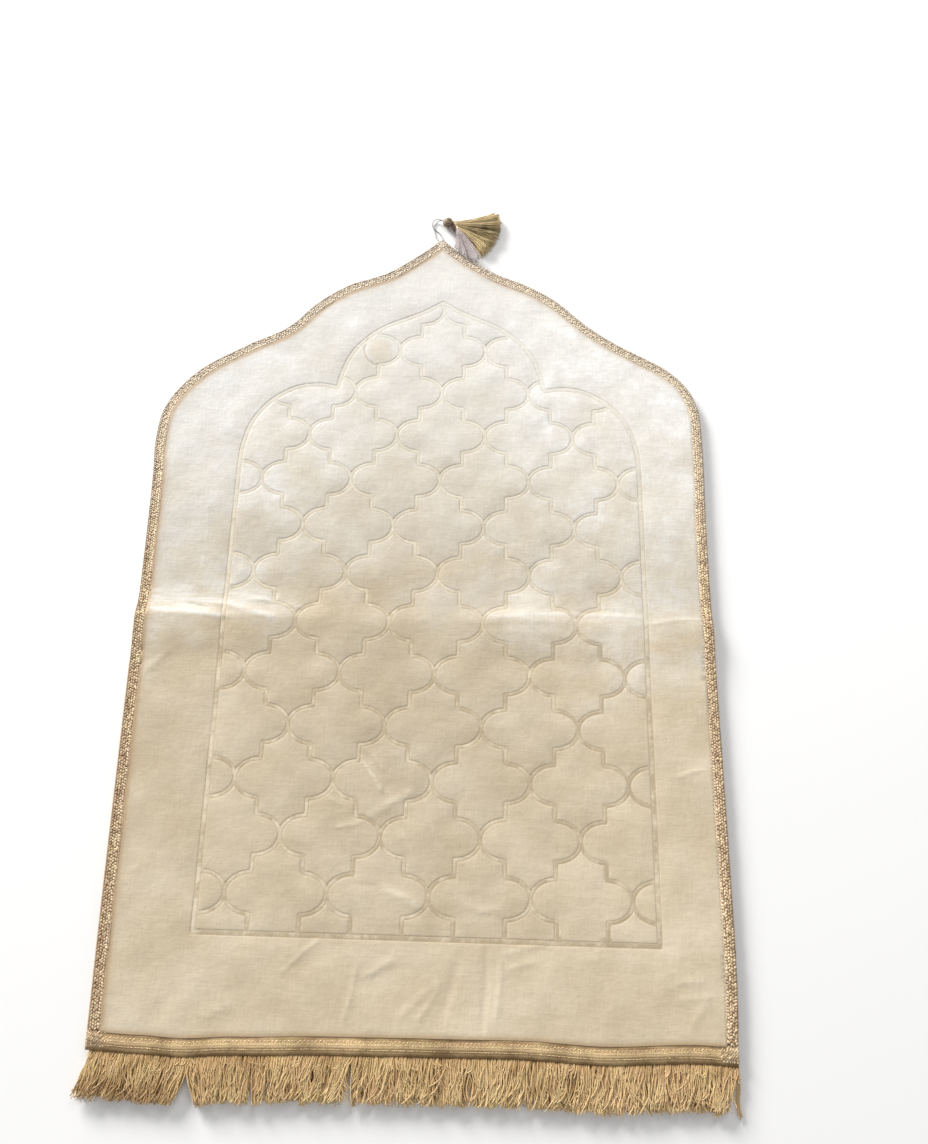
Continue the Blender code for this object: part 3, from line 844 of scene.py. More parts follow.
# How far a crease bows aside over its length, where its rows of points lie as shares of
# its half width, how close those points may stand, and how far they run past its ends.
CREASE_BOW = 0.02
CREASE_ROWS = (0.55, 1.1, 1.8, 2.7)
CREASE_STEP = 0.0022
CREASE_PAST = 0.06
CHANNEL_CLEAR = 0.0058


def crease_points():
    """Rows of points along every crease, closer together where it is narrow."""
    points = []
    for x1, y1, x2, y2, half_width, *_ in CREASES:
        run = math.hypot(x2 - x1, y2 - y1)
        steps = max(3, round(run / max(CREASE_STEP, half_width)))
        t = np.linspace(-CREASE_PAST, 1.0 + CREASE_PAST, steps)
        line = np.column_stack((x1 + (x2 - x1) * t, y1 + (y2 - y1) * t))
        normal = np.array((y1 - y2, x2 - x1)) / run
        bow = CREASE_BOW * run * np.sin(np.clip(t, 0.0, 1.0) * math.pi)
        line = line + normal * bow[:, None]
        points.append(beside(line, [row * half_width for row in CREASE_ROWS]))
    return np.vstack(points)


creased = crease_points()
channel_away = np.minimum(distance(frame_tree, creased), from_trellis_at(creased))
creased = creased[channel_away > CHANNEL_CLEAR]
crease_row_tree = tree_of(creased)
print("Points along the creases:", len(creased))

# %% The pad's outline, and rows of points along the trimmings
PAD_INSET = 0.0008
CUSHION_INSET = 0.0118
PAD_BELOW_HEM = 0.0110
SHOULDER_INSETS = (
    0.0030, 0.0080, 0.0117, 0.0120, 0.0123,
    0.0126, 0.0130, 0.0138, 0.0156, 0.0182,
)
HEM_OFFSETS = (-0.0105, -0.0050, -0.0016, -0.0011, -0.0007, -0.0003, 0.0010, 0.0034, 0.0065)
FOOT_POINTS = 240
HEM_POINTS = 230
HEM_END = 0.004
FOLDED_OVER = 0.0002
CORNER_GAP = 0.0005


def inset_edge(inset):
    """The outer edge moved inward, without the points that fold over."""
    moved = edge + edge_inward * inset
    return moved[distance(edge_tree, moved) > inset - FOLDED_OVER]


rim = inset_edge(PAD_INSET)
rim = rim[rim[:, 1] > hem_y(rim[:, 0]) - PAD_BELOW_HEM + CORNER_GAP]
foot_x = np.linspace(rim[0, 0], rim[-1, 0], FOOT_POINTS)
foot = np.column_stack((foot_x, hem_y(foot_x) - PAD_BELOW_HEM))
outline = np.vstack((rim, foot[::-1]))
shoulders = [inset_edge(inset)[::2] for inset in SHOULDER_INSETS]
hem_x = np.linspace(rim[0, 0] + HEM_END, rim[-1, 0] - HEM_END, HEM_POINTS)
for offset in HEM_OFFSETS:
    shoulders.append(np.column_stack((hem_x, hem_y(hem_x) + offset)))
shoulders = np.vstack(shoulders)
print("Points on the pad's outline:", len(outline))

# %% Points spread over the rest of the pad
# Their spacing and shift, and how far they keep from the frame, the trellis, the outer
# edge, the hem and the creases, which have rows of their own.
SPREAD = 0.0052
SPREAD_ROW = 0.87
SPREAD_SHIFT = 0.0007
SPREAD_X = (-0.36, 0.36)
SPREAD_Y = (-0.54, 0.50)
FRAME_MARGIN = 0.0082
TRELLIS_MARGIN = 0.0076
EDGE_MARGIN = 0.0225
HEM_MARGIN = 0.0090
CREASE_MARGIN = 0.0030


def spread_points():
    """Staggered rows of points with a small seeded shift."""
    random = np.random.default_rng(5)
    rows = np.arange(*SPREAD_Y, SPREAD * SPREAD_ROW)
    columns = np.arange(*SPREAD_X, SPREAD)
    x = columns[None] + (np.arange(len(rows)) % 2)[:, None] * SPREAD / 2.0
    y = np.broadcast_to(rows[:, None], x.shape)
    grid = np.column_stack((x.ravel(), y.ravel()))
    return grid + random.uniform(-SPREAD_SHIFT, SPREAD_SHIFT, grid.shape)


spread = spread_points()
spread = spread[inside_loop(spread, outline)]
free = (
    (distance(frame_tree, spread) > FRAME_MARGIN)
    & (from_trellis_at(spread) > TRELLIS_MARGIN)
    & (distance(edge_tree, spread) > EDGE_MARGIN)
    & (spread[:, 1] - hem_y(spread[:, 0]) > HEM_MARGIN)
    & (distance(crease_row_tree, spread) > CREASE_MARGIN)
)
spread = spread[free]
print("Points spread over the velvet:", len(spread))

# %% Merging the points


def thinned(points, gap):
    """The points in order, without any that lies closer than gap to an earlier one."""
    kept = []
    taken = {}
    for x, y in points:
        cell = (int(x // gap), int(y // gap))
        close = False
        for column in (-1, 0, 1):
            for row in (-1, 0, 1):
                for other_x, other_y in taken.get((cell[0] + column, cell[1] + row), ()):
                    if (x - other_x) ** 2 + (y - other_y) ** 2 < gap * gap:
                        close = True
        if not close:
            taken.setdefault(cell, []).append((x, y))
            kept.append((x, y))
    return np.array(kept)


POINT_GAP = 0.00026
OUTLINE_GAP = 0.0009
inner = np.vstack((channel_points, shoulders, creased, spread))
clear = inside_loop(inner, outline) & (distance(tree_of(outline), inner) > OUTLINE_GAP)
inner = thinned(inner[clear], POINT_GAP)
flat_points = np.vstack((outline, inner))
print("Points in the velvet face:", len(flat_points))

# %% Heights of the creases and of the wadding
# A crease ends as softly as this times its half width, and its painted highlight lies on its
# crest alone.
CREASE_END = 2.0
SHINE_NARROWER = 1.6
# Slow waves in the wadding: direction, wave length, height and start of each.
WAVES = (
    (0.3, 0.130, 0.00022, 0.4),
    (1.2, 0.094, 0.00018, 2.1),
    (2.2, 0.071, 0.00015, 4.4),
    (0.9, 0.047, 0.00010, 1.3),
    (2.7, 0.038, 0.00008, 5.2),
)


def softened(share):
    """A soft step that rises from 0 to 1 as share does."""
    share = np.clip(share, 0.0, 1.0)
    return share * share * (3.0 - 2.0 * share)


def bell(away, width):
    """A soft bump that is 1 where away is 0 and fades out over about its width."""
    return np.exp(-((away / width) ** 2))


def crease_parts(x, y):
    """The height that all soft creases add, and how strong the painted highlight on their
    ridges is.
    """
    lift = np.zeros(len(x))
    shine = np.zeros(len(x))
    for x1, y1, x2, y2, half_width, height, highlight in CREASES:
        run = math.hypot(x2 - x1, y2 - y1)
        ux, uy = (x2 - x1) / run, (y2 - y1) / run
        along = (x - x1) * ux + (y - y1) * uy
        across = (y - y1) * ux - (x - x1) * uy
        across = across - CREASE_BOW * run * np.sin(np.clip(along / run, 0.0, 1.0) * math.pi)
        past = np.maximum(np.maximum(-along, along - run), 0.0)
        reach = (across / half_width) ** 2 + (past / (CREASE_END * half_width)) ** 2
        lift += height * np.exp(-reach)
        shine = np.maximum(shine, highlight * np.exp(-SHINE_NARROWER * reach))
    return lift, shine


def wave_lift(x, y):
    """The height that all the slow waves add."""
    lift = np.zeros(len(x))
    for turn, length, height, start in WAVES:
        along = x * math.cos(turn) + y * math.sin(turn)
        lift += height * np.sin(along * TAU / length + start)
    return lift


print("Creases:", len(CREASES), "and slow waves:", len(WAVES))

# %% Height of the velvet
RIM_HEIGHT = 0.0064
TOP_HEIGHT = 0.0090
# Beside the trimmings the velvet rises by these shares, at once and slowly.
RISE_AT_ONCE = 0.95
RISE_WIDTH = 0.0006
RISE_SLOWLY = 0.05
BORDER_ROLL = 0.0080
HEM_TUCK = 0.0013
CROWN = 0.0007
CROWN_REACH = 0.0120
GROOVE_DEPTH = 0.00020
GROOVE_AWAY = 0.0009
GROOVE_WIDTH = 0.0005
TRELLIS_HALF = 0.0013
FRAME_HALF = 0.0018
CHANNEL_ROLL = 0.0018
# The channels get a little deeper between these two places up the rug.
CHANNEL_DEPTH = (0.00020, 0.00024)
DEPTH_Y = (-0.10, 0.20)
STRAY_WIDTH = 0.0016
STRAY_DEPTH = 0.0004
STRAY_FADE = 0.004


def channel_depth(away, half):
    """How deep a channel is at a distance from its middle line, from 1 to 0."""
    return 1.0 - softened((away - half) / CHANNEL_ROLL)


def groove_share(from_frame, from_trellis):
    """A fine groove along both sides of every channel, 1 at its bottom."""
    away = np.minimum(from_frame - FRAME_HALF, from_trellis - TRELLIS_HALF)
    return bell(away - GROOVE_AWAY, GROOVE_WIDTH)


def border_rise(away):
    """The velvet's rise beside the trimmings: most of it at once, the rest slowly."""
    slowly = RISE_SLOWLY * softened(away / BORDER_ROLL)
    return RISE_AT_ONCE * softened(away / RISE_WIDTH) + slowly


def face_height(points):
    """The velvet's height above the floor at each point."""
    x, y = points.T
    from_frame = distance(frame_tree, points)
    from_trellis = from_trellis_at(points)
    from_edge = distance(edge_tree, points) - CUSHION_INSET
    border = np.minimum(from_edge, y - hem_y(x) + HEM_TUCK)
    ground = TOP_HEIGHT + crease_parts(x, y)[0] + wave_lift(x, y)
    stray = bell(distance(crease_tree, points), STRAY_WIDTH)
    faded = np.clip((from_frame - STRAY_FADE) / STRAY_FADE, 0.0, 1.0)
    ground = ground - STRAY_DEPTH * stray * faded
    swell = 1.0 - bell(np.minimum(from_frame, from_trellis), CROWN_REACH)
    depth = np.maximum(
        channel_depth(from_frame, FRAME_HALF), channel_depth(from_trellis, TRELLIS_HALF)
    )
    low = np.interp(y, DEPTH_Y, CHANNEL_DEPTH)
    height = ground + CROWN * swell * (1.0 - depth) - low * depth
    height = height - GROOVE_DEPTH * groove_share(from_frame, from_trellis)
    height = RIM_HEIGHT + (height - RIM_HEIGHT) * border_rise(border)
    return height + fold_lift(x, y)


cell_middle = np.array([(TRELLIS_X, TRELLIS_Y + ROW)])
print("Height in the middle of a cell:", face_height(cell_middle))

# %% Triangles of the face and the underside


def triangulated(points, loop_size):
    """Triangles over all points, inside the loop that the first points make."""
    loop = [(index, (index + 1) % loop_size) for index in range(loop_size)]
    coordinates = [Vector(point) for point in points.tolist()]
    found = delaunay_2d_cdt(coordinates, loop, [], 1, 1e-7)
    return np.array([tuple(v) for v in found[0]]), [tuple(face) for face in found[2]]


# The underside needs points only where the fold lifts it: rows along the fold.
UNDER_Y = np.arange(-0.045, 0.0451, 0.003) + FOLD_Y
UNDER_X = np.arange(-0.33, 0.331, 0.03)
face_points, face_triangles = triangulated(flat_points, len(outline))
under = np.array([(x, y) for y in UNDER_Y for x in UNDER_X])
under = np.vstack((outline, under))
under_points, under_triangles = triangulated(under, len(outline))
print("Triangles:", len(face_triangles), "above and", len(under_triangles), "below")

# %% The rim between face and underside
# The face drops at its edge. The side bulges, more at the lower left, where it is seen,
# away from a point on the rug's long axis at this share of its own y.
EDGE_DROP = 0.0012
SIDE_BULGE = 0.0004
LEFT_BULGE = 0.0031
LEFT_BULGE_FROM = -0.02
LEFT_BULGE_OVER = 0.10
SIDE_AIM = 0.9


def pad_mesh():
    """The closed pad: face, a rounded side and the flat underside."""
    loop_size = len(outline)
    top = np.column_stack((face_points, face_height(face_points)))
    lift = fold_lift(outline[:, 0], outline[:, 1])
    side = np.column_stack((outline, lift + RIM_HEIGHT / 2.0))
    bottom_lift = fold_lift(under_points[:, 0], under_points[:, 1])
    bottom = np.column_stack((under_points, bottom_lift))
    axis = np.column_stack((np.zeros(loop_size), outline[:, 1] * SIDE_AIM))
    outward = unit(outline - axis)
    left_foot = np.clip((LEFT_BULGE_FROM - outline[:, 1]) / LEFT_BULGE_OVER, 0.0, 1.0)
    left_foot = left_foot * (outline[:, 0] < 0.0)
    side[:, :2] += outward * (SIDE_BULGE + LEFT_BULGE * left_foot[:, None])
    top[:loop_size, 2] -= EDGE_DROP
    side_first = len(top)
    bottom_first = side_first + loop_size
    faces = list(face_triangles)
    for index in range(loop_size):
        other = (index + 1) % loop_size
        for upper, lower in ((0, side_first), (side_first, bottom_first)):
            faces.append((upper + index, upper + other, lower + other, lower + index))
    faces += shifted(flipped(under_triangles), bottom_first)
    return np.vstack((top, side, bottom)), faces


pad_points, pad_faces = pad_mesh()
print("Points in the pad:", len(pad_points))

# %% [markdown]
# ## Velvet
#
# Velvet is a dense upright pile. It looks pale where the light skims it and deep where
# one looks into it, and brushing lays it in patches. Its tone could be one colour under a
# strong light, but then the brushed patches would be missing. So one node group makes the
# lie of the nap from noise: broad patches, small smudges and the crossing rows of pile.

# %% Nap group
PATCH_SCALE = 14.0
SMUDGE_SCALE = 44.0
PILE_SCALE = 420.0
nap, nap_in, nap_out = new_group(
    "brushed_nap",
    (
        ("Patch Scale", "NodeSocketFloat", PATCH_SCALE),
        ("Pile Scale", "NodeSocketFloat", PILE_SCALE),
    ),
    (
        ("Patch", "NodeSocketFloat"),
        ("Smudge", "NodeSocketFloat"),
        ("Pile", "NodeSocketFloat"),
    ),
)
nap_place = nap.nodes.new("ShaderNodeTexCoord").outputs["Object"]


def stretched_noise(tree, place, stretch, scale, detail, roughness=0.6):
    """Noise drawn out along one direction."""
    mapping = add_node(tree, "ShaderNodeMapping", Vector=place, Scale=stretch)
    noise = add_node(
        tree,
        "ShaderNodeTexNoise",
        Vector=mapping.outputs["Vector"],
        Scale=scale,
        Detail=detail,
        Roughness=roughness,
    )
    return noise.outputs["Fac"]


EVEN = (1.0, 1.0, 1.0)
patches = stretched_noise(nap, nap_place, (0.8, 1.1, 1.0), nap_in.outputs["Patch Scale"], 5.0)
smudges = stretched_noise(nap, nap_place, EVEN, SMUDGE_SCALE, 7.0, 0.68)
pile_size = nap_in.outputs["Pile Scale"]
pile_rows = stretched_noise(nap, nap_place, (0.16, 1.0, 1.0), pile_size, 4.0)
pile_columns = stretched_noise(nap, nap_place, (1.0, 0.13, 1.0), pile_size, 4.0)
pile = math_node(nap, "ADD", pile_rows, pile_columns)
nap.links.new(ramp(nap, patches, 0.34, 0.68), nap_out.inputs["Patch"])
nap.links.new(ramp(nap, smudges, 0.36, 0.66), nap_out.inputs["Smudge"])
nap.links.new(ramp(nap, pile, 0.70, 1.30), nap_out.inputs["Pile"])
print("Nap group nodes:", len(nap.nodes))

# %% Velvet tones
IVORY_DEEP = (0.585, 0.482, 0.326)
IVORY_PALE = (0.685, 0.588, 0.436)
IVORY_ARCH_SHEEN = (0.725, 0.700, 0.650)
SILVER_SHEEN = (0.735, 0.730, 0.710)
ARCH_SHEEN = (0.860, 0.855, 0.835)
PRESSED_DEEP = (0.520, 0.420, 0.275)
PRESSED_PALE = (0.760, 0.660, 0.490)
PRESSED_ARCH_SHEEN = (0.690, 0.665, 0.590)
TRIM_SHADE = (0.41, 0.254, 0.110)
GROOVE_SHADE = (0.36, 0.26, 0.13)
SHINE = (0.80, 0.79, 0.75)
WARM_SHINE = (0.86, 0.79, 0.63)
velvet_finish, velvet, velvet_shader = new_material("ivory_velvet")
nap_node = velvet.nodes.new("ShaderNodeGroup")
nap_node.node_tree = nap
nap_node.inputs["Patch Scale"].default_value = PATCH_SCALE
nap_node.inputs["Pile Scale"].default_value = PILE_SCALE
patch = nap_node.outputs["Patch"]
smudge = nap_node.outputs["Smudge"]
pile = nap_node.outputs["Pile"]
velvet_place = velvet.nodes.new("ShaderNodeTexCoord").outputs["Object"]
velvet_spot = add_node(velvet, "ShaderNodeSeparateXYZ", Vector=velvet_place)
right_x = velvet_spot.outputs["X"]
up_y = velvet_spot.outputs["Y"]
print("Velvet tones set")

# %% Helpers for masks on the velvet


def along_rug(start, end):
    """A mask that goes from 0 to 1 between two places up the rug."""
    return ramp(velvet, up_y, start, end)


def across_rug(start, end):
    """A mask that goes from 0 to 1 between two places across the rug."""
    return ramp(velvet, right_x, start, end)


def together(product, *masks):
    """The product of all masks, which shows where all of them are."""
    for mask in masks:
        product = math_node(velvet, "MULTIPLY", product, mask)
    return product


def plus(value, *changes):
    """A value to which each change, a mask and its amount, is added in turn."""
    for mask, amount in changes:
        value = math_node(velvet, "MULTIPLY_ADD", mask, amount, value)
    return value


def shaded(color, light):
    """A colour times a number: painted light, or a change of tone."""
    return mix_colors(velvet, 1.0, color, light, "MULTIPLY")


print("Helpers for the velvet's masks made")

# %% [markdown]
# ## The lie of the nap, and painted light
#
# The nap of this rug is brushed into patches. Towards the arch and at its left margin the
# velvet is painted paler and silvery, a painted sheen for the light that it mirrors there.
# It is deeper across the waist and in the middle and dull in one small patch, and painted
# light makes it lighter towards the right, just below the fold and at the hem. One picture
# of the whole rug could hold all of that, but it would copy a photograph. Here each is a
# mask from the place on the rug, and the noise of the nap moves their borders, so no
# border is a straight line.

# %% Painted sheen towards the arch and at the left margin
off_middle = plus(math_node(velvet, "ABSOLUTE", right_x), (smudge, 0.05))
in_middle = ramp(velvet, off_middle, 0.27, 0.08)
wandering = plus(up_y, (right_x, 0.10), (patch, 0.12), (in_middle, -0.06))
towards_arch = ramp(velvet, wandering, -0.08, 0.36)
nap_and_painted_light = mix_colors(velvet, patch, IVORY_DEEP, IVORY_PALE)
# Painted sheen: paler towards the arch, silvery at the left margin and in pale blotches on the
# arch.
nap_and_painted_light = mix_colors(velvet, towards_arch, nap_and_painted_light, IVORY_ARCH_SHEEN)
silver_sheen = together(across_rug(-0.18, -0.30), towards_arch, 0.6)
nap_and_painted_light = mix_colors(velvet, silver_sheen, nap_and_painted_light, SILVER_SHEEN)
sheen_blotch = together(smudge, patch, towards_arch, 1.3, plus(1.0, (in_middle, -0.7)))
sheen_blotch = math_node(velvet, "MINIMUM", sheen_blotch, 1.0)
nap_and_painted_light = mix_colors(velvet, sheen_blotch, nap_and_painted_light, ARCH_SHEEN)
print("Velvet nodes:", len(velvet.nodes))

# %% Painted light across the velvet, and deeper across the waist and in the middle
dulled = point_mask(velvet, "dulled")
at_sides = ramp(velvet, off_middle, 0.10, 0.26)
waist = together(along_rug(0.17, 0.07), along_rug(-0.32, -0.20))
below_fold = together(along_rug(-0.14, -0.085), along_rug(-0.058, -0.075), at_sides)
right_waist = together(
    along_rug(0.085, 0.03), along_rug(-0.06, -0.045), across_rug(0.14, 0.27)
)
left_waist = together(
    along_rug(0.13, 0.06), along_rug(-0.035, -0.010), across_rug(-0.08, -0.20)
)
hem_middle = together(along_rug(-0.41, -0.49), in_middle)
# Painted light: lighter towards the right and towards the hem, which evens out the lamps, and
# just below the fold, which lifts its shade. The rest darkens the waist, the middle and the
# margins above the fold, and lightens the middle of the hem.
light = plus(
    1.0,
    (right_x, 0.15),
    (waist, -0.015),
    (in_middle, plus(-0.05, (waist, -0.03))),
    (below_fold, 0.09),
    (right_waist, -0.10),
    (left_waist, -0.05),
    (along_rug(-0.20, -0.50), 0.085),
    (hem_middle, 0.08),
    (dulled, -0.07),
)
nap_and_painted_light = shaded(nap_and_painted_light, light)
nap_and_painted_light = mix_colors(velvet, together(dulled, 0.5), nap_and_painted_light, IVORY_PALE)
print("Velvet nodes:", len(velvet.nodes))

# %% [markdown]
# ## Creases, channels and seams
#
# A crease lays the pile over, and a painted highlight in broken strokes stands for the
# shine on its ridge. The heat of the press crushes the pile in the channels, so they are
# smoother and beaded with tone, and painted shade draws a fine dark line in each groove.
# Beside the gold trimmings the velvet is painted with their warm shade. The mesh knows
# where all these places are, so its points carry a number for each, and the material
# mixes its tones by them.

# %% Painted highlights along the creases
painted_highlight = point_mask(velvet, "painted_highlight")
streaks = stretched_noise(velvet, velvet_place, (0.22, 1.5, 1.0), 95.0, 5.0, 0.65)
stroke = plus(0.97, (ramp(velvet, streaks, 0.34, 0.66), 0.06))
nap_and_painted_light = shaded(nap_and_painted_light, stroke)
highlight = together(painted_highlight, ramp(velvet, streaks, 0.40, 0.57))
shine = mix_colors(velvet, along_rug(-0.15, -0.08), WARM_SHINE, SHINE)
nap_and_painted_light = mix_colors(velvet, highlight, nap_and_painted_light, shine)
print("Velvet nodes:", len(velvet.nodes))

# %% Crushed pile in the channels, and painted shade in the grooves and at the trimmings
pressed = point_mask(velvet, "pressed")
beads = plus(
    stretched_noise(velvet, velvet_place, EVEN, 62.0, 4.0),
    (towards_arch, 0.16),
    (right_x, -0.16),
    (along_rug(-0.408, -0.414), -0.12),
    (point_mask(velvet, "framed"), 0.07),
)
beads = ramp(velvet, beads, 0.44, 0.66)
crushed = mix_colors(velvet, beads, PRESSED_DEEP, PRESSED_PALE)
# The crushed pile is painted paler towards the arch too, with the same painted sheen.
crushed = mix_colors(velvet, towards_arch, crushed, PRESSED_ARCH_SHEEN)
toned = mix_colors(velvet, pressed, nap_and_painted_light, crushed)
# Painted shade: a fine dark line in each groove, a little lighter towards the arch.
groove_shade_mix = together(point_mask(velvet, "painted_groove_shade"), plus(1.0, (towards_arch, -0.20)))
toned = mix_colors(velvet, groove_shade_mix, toned, GROOVE_SHADE)
toned = mix_colors(velvet, point_mask(velvet, "painted_trim_shade"), toned, TRIM_SHADE)
print("Velvet nodes:", len(velvet.nodes))

# %% The pile itself
toned = shaded(toned, plus(0.935, (pile, 0.13)))
velvet.links.new(toned, velvet_shader.inputs["Base Color"])
rough = plus(0.54, (smudge, -0.14), (pressed, -0.12))
velvet.links.new(rough, velvet_shader.inputs["Roughness"])
velvet_shader.inputs["Sheen Weight"].default_value = 0.35
velvet_shader.inputs["Sheen Roughness"].default_value = 0.35
velvet_shader.inputs["Sheen Tint"].default_value = (1.0, 0.98, 0.93, 1.0)
velvet_shader.inputs["Specular IOR Level"].default_value = 0.70
bump_height = plus(smudge, (pile, 0.30), (patch, 1.2))
use_bump(velvet, velvet_shader, bump_height, 0.25, 0.0009)
print("Velvet nodes:", len(velvet.nodes))

# %% The finished pad


def paint(piece, name, values):
    """A number on every point of a piece, for its material."""
    attribute = piece.data.attributes.new(name, "FLOAT", "POINT")
    attribute.data.foreach_set("value", np.asarray(values, dtype=np.float32))


velvet_pad = add_piece(
    "velvet_pad", pad_points, pad_faces, None, velvet_finish, "velvet", ["rug_pad"]
)
flat_pad = pad_points[:, :2]
frame_away = distance(frame_tree, flat_pad)
trellis_away = from_trellis_at(flat_pad)
stray_away = distance(crease_tree, flat_pad)
paint(velvet_pad, "painted_highlight", crease_parts(*flat_pad.T)[1])
print("Creases painted on the velvet")

# %% Channels, and painted shade in their grooves
# The pressed band ends softly. The painted shade in its grooves is darkest on the side
# towards the viewer's right, and the stray crease has a painted shade of its own.
PRESSED_FADE = 0.0008
GROOVE_SHADE_LEAST = 0.25
GROOVE_SHADE_MORE = 0.48
STRAY_CREASE_SHADE = 0.55
STRAY_CREASE_SHADE_WIDTH = 0.0011
VIEWERS_RIGHT = np.array((0.6, -0.8))


def towards_right(tree, points):
    """How far each point lies from its channel towards the viewer's right, 0 to 1."""
    nearest = np.array([tree.find((x, y, 0.0))[0][:2] for x, y in points])
    return np.clip(unit(points - nearest) @ VIEWERS_RIGHT, 0.0, 1.0)


by_frame = frame_away - FRAME_HALF < trellis_away - TRELLIS_HALF
floor_away = np.minimum(frame_away - FRAME_HALF, trellis_away - TRELLIS_HALF)
right_share = np.where(
    by_frame, towards_right(frame_tree, flat_pad), towards_right(trellis_tree, flat_pad)
)
groove_shade_share = groove_share(frame_away, trellis_away) * (GROOVE_SHADE_LEAST + GROOVE_SHADE_MORE * right_share)
groove_shade_share = np.maximum(groove_shade_share, STRAY_CREASE_SHADE * bell(stray_away, STRAY_CREASE_SHADE_WIDTH))
paint(velvet_pad, "pressed", np.clip(1.0 - floor_away / PRESSED_FADE, 0.0, 1.0))
paint(velvet_pad, "framed", by_frame)
paint(velvet_pad, "painted_groove_shade", groove_shade_share)
print("Channels painted on the velvet")

# %% Painted shade along the trimmings
# The braid's shade is painted on the velvet, most where its inner side faces away from
# the light, and a little less in the arch. The pad's side and lower rim are painted
# wholly in that shade.
LIGHT_FROM = np.array((-0.61, 0.79))
SHADE_EVEN = 0.35
SHADE_BY_LIGHT = 0.65
ARCH_Y = 0.15
ARCH_OVER = 0.15
ARCH_LESS = 0.14
BRAID_INNER_SIDE = 0.0130
BRAID_SHADE_WIDTH = 0.0044
TAPE_UPPER_SIDE = 0.0005
TAPE_SHADE = 0.60
TAPE_SHADE_WIDTH = 0.0026
nearest_edge = [edge_tree.find((x, y, 0.0))[1] for x, y in flat_pad]
edge_light = edge_inward[nearest_edge] @ -LIGHT_FROM
edge_shade = np.clip(SHADE_EVEN + SHADE_BY_LIGHT * edge_light, 0.0, 1.0)
in_arch = np.clip((flat_pad[:, 1] - ARCH_Y) / ARCH_OVER, 0.0, 1.0)
edge_shade = edge_shade * (1.0 - ARCH_LESS * in_arch)
by_edge = np.maximum(distance(edge_tree, flat_pad) - BRAID_INNER_SIDE, 0.0)
by_hem = np.maximum(flat_pad[:, 1] - hem_y(flat_pad[:, 0]) - TAPE_UPPER_SIDE, 0.0)
trim_share = np.maximum(
    edge_shade * bell(by_edge, BRAID_SHADE_WIDTH), TAPE_SHADE * bell(by_hem, TAPE_SHADE_WIDTH)
)
for first in (0, len(face_points), len(face_points) + len(outline)):
    trim_share[first : first + len(outline)] = 1.0
paint(velvet_pad, "painted_trim_shade", trim_share)
print("Shade painted on the velvet")

# %% A dull patch near the arch
# It is round with an uneven border, stops at the channels and leaves the line of the
# stray crease bright.
DULL_PLACE = (-0.0700, 0.3170)
DULL_REACH = 0.0215
DULL_FADE = 0.0090
DULL_CLEAR = 0.0030
dull_x, dull_y = (flat_pad - DULL_PLACE).T
around = np.arctan2(dull_y, dull_x)
dull_away = np.hypot(dull_x, dull_y) + 0.0030 * np.sin(2.0 * around + 0.7)
dull_away = dull_away + 0.0016 * np.sin(5.0 * around)
dull_share = np.clip((DULL_REACH - dull_away) / DULL_FADE, 0.0, 1.0)
dull_share = np.where(trellis_away < DULL_CLEAR, 0.0, dull_share)
paint(velvet_pad, "dulled", dull_share * (stray_away > 0.0))
print("Dull patch painted on the velvet")

# %% [markdown]
# ## The braid
#
# The edge is bound with a flat gold braid of shiny metal yarn. Close up it is a plait:
# small fat stitches lean one way and the next row leans the other, and a thin twisted
# cord closes each side. A picture of a braid on a strip would look flat, and a real plait
# would be very heavy. A stitch for each visible bit of yarn gives the sparkle, and a band
# under them fills the gaps. The yarn mirrors the light on the arch, so each stitch there
# is given a brighter tint.

# %% Places along the edge
BRAID_BASE = 0.0067
kept = edge[:, 1] > hem_y(edge[:, 0]) + 0.0010
braid_start = edge_run[kept][0]
braid_end = edge_run[kept][-1]


def at_lengths(run, line_run, values):
    """Rows of a table that runs along a line, at other lengths along it."""
    return np.column_stack([np.interp(run, line_run, column) for column in values.T])


def on_edge(run, inset, height):
    """Points at lengths along the edge, with their directions along and across."""
    along = unit(at_lengths(run, edge_run, edge_along))
    inward = unit(at_lengths(run, edge_run, edge_inward))
    spot = at_lengths(run, edge_run, edge) + inward * np.asarray(inset)[..., None]
    z = height + fold_lift(spot[:, 0], spot[:, 1])
    flat = np.zeros(len(run))
    return (
        np.column_stack((spot, z)),
        np.column_stack((along, flat)),
        np.column_stack((inward, flat)),
    )


print("Braid length:", round(braid_end - braid_start, 3))

# %% Gold finishes of the braid
braid_finish = yarn_material(
    "gold_braid", (0.27, 0.160, 0.074), (1.0, 0.80, 0.53), 0.46, 0.08, 1400.0, 90.0, 0.50
)
band_finish = yarn_material(
    "braid_ground", (0.24, 0.15, 0.08), (0.60, 0.44, 0.28), 0.60, 0.0, 1200.0, 140.0, 0.80
)
cord_finish = yarn_material(
    "braid_cord", (0.22, 0.14, 0.080), (0.95, 0.75, 0.54), 0.50, 0.0, 1400.0, 90.0, 0.50
)
print("Braid finishes made")

# %% The band under the stitches
BAND_SECTION = (
    (0.0004, 0.0000),
    (0.0004, 0.0012),
    (0.0018, 0.0019),
    (0.0050, 0.0022),
    (0.0080, 0.0022),
    (0.0112, 0.0019),
    (0.0128, 0.0011),
    (0.0128, 0.0000),
)
BAND_SPACING = 0.004
BAND_TINT = 0.85


def braid_band():
    """A low band along the whole edge."""
    run = np.arange(braid_start, braid_end, BAND_SPACING)
    rings = []
    for inset, rise in BAND_SECTION:
        rings.append(on_edge(run, np.full(len(run), inset), BRAID_BASE + rise)[0])
    points = np.stack(rings, axis=1).reshape(-1, 3)
    faces = tube_faces(1, len(run), len(BAND_SECTION))
    return points, faces, np.full(len(points), BAND_TINT)


add_piece("braid_band", *braid_band(), band_finish, "braid", ["edge_braid"])

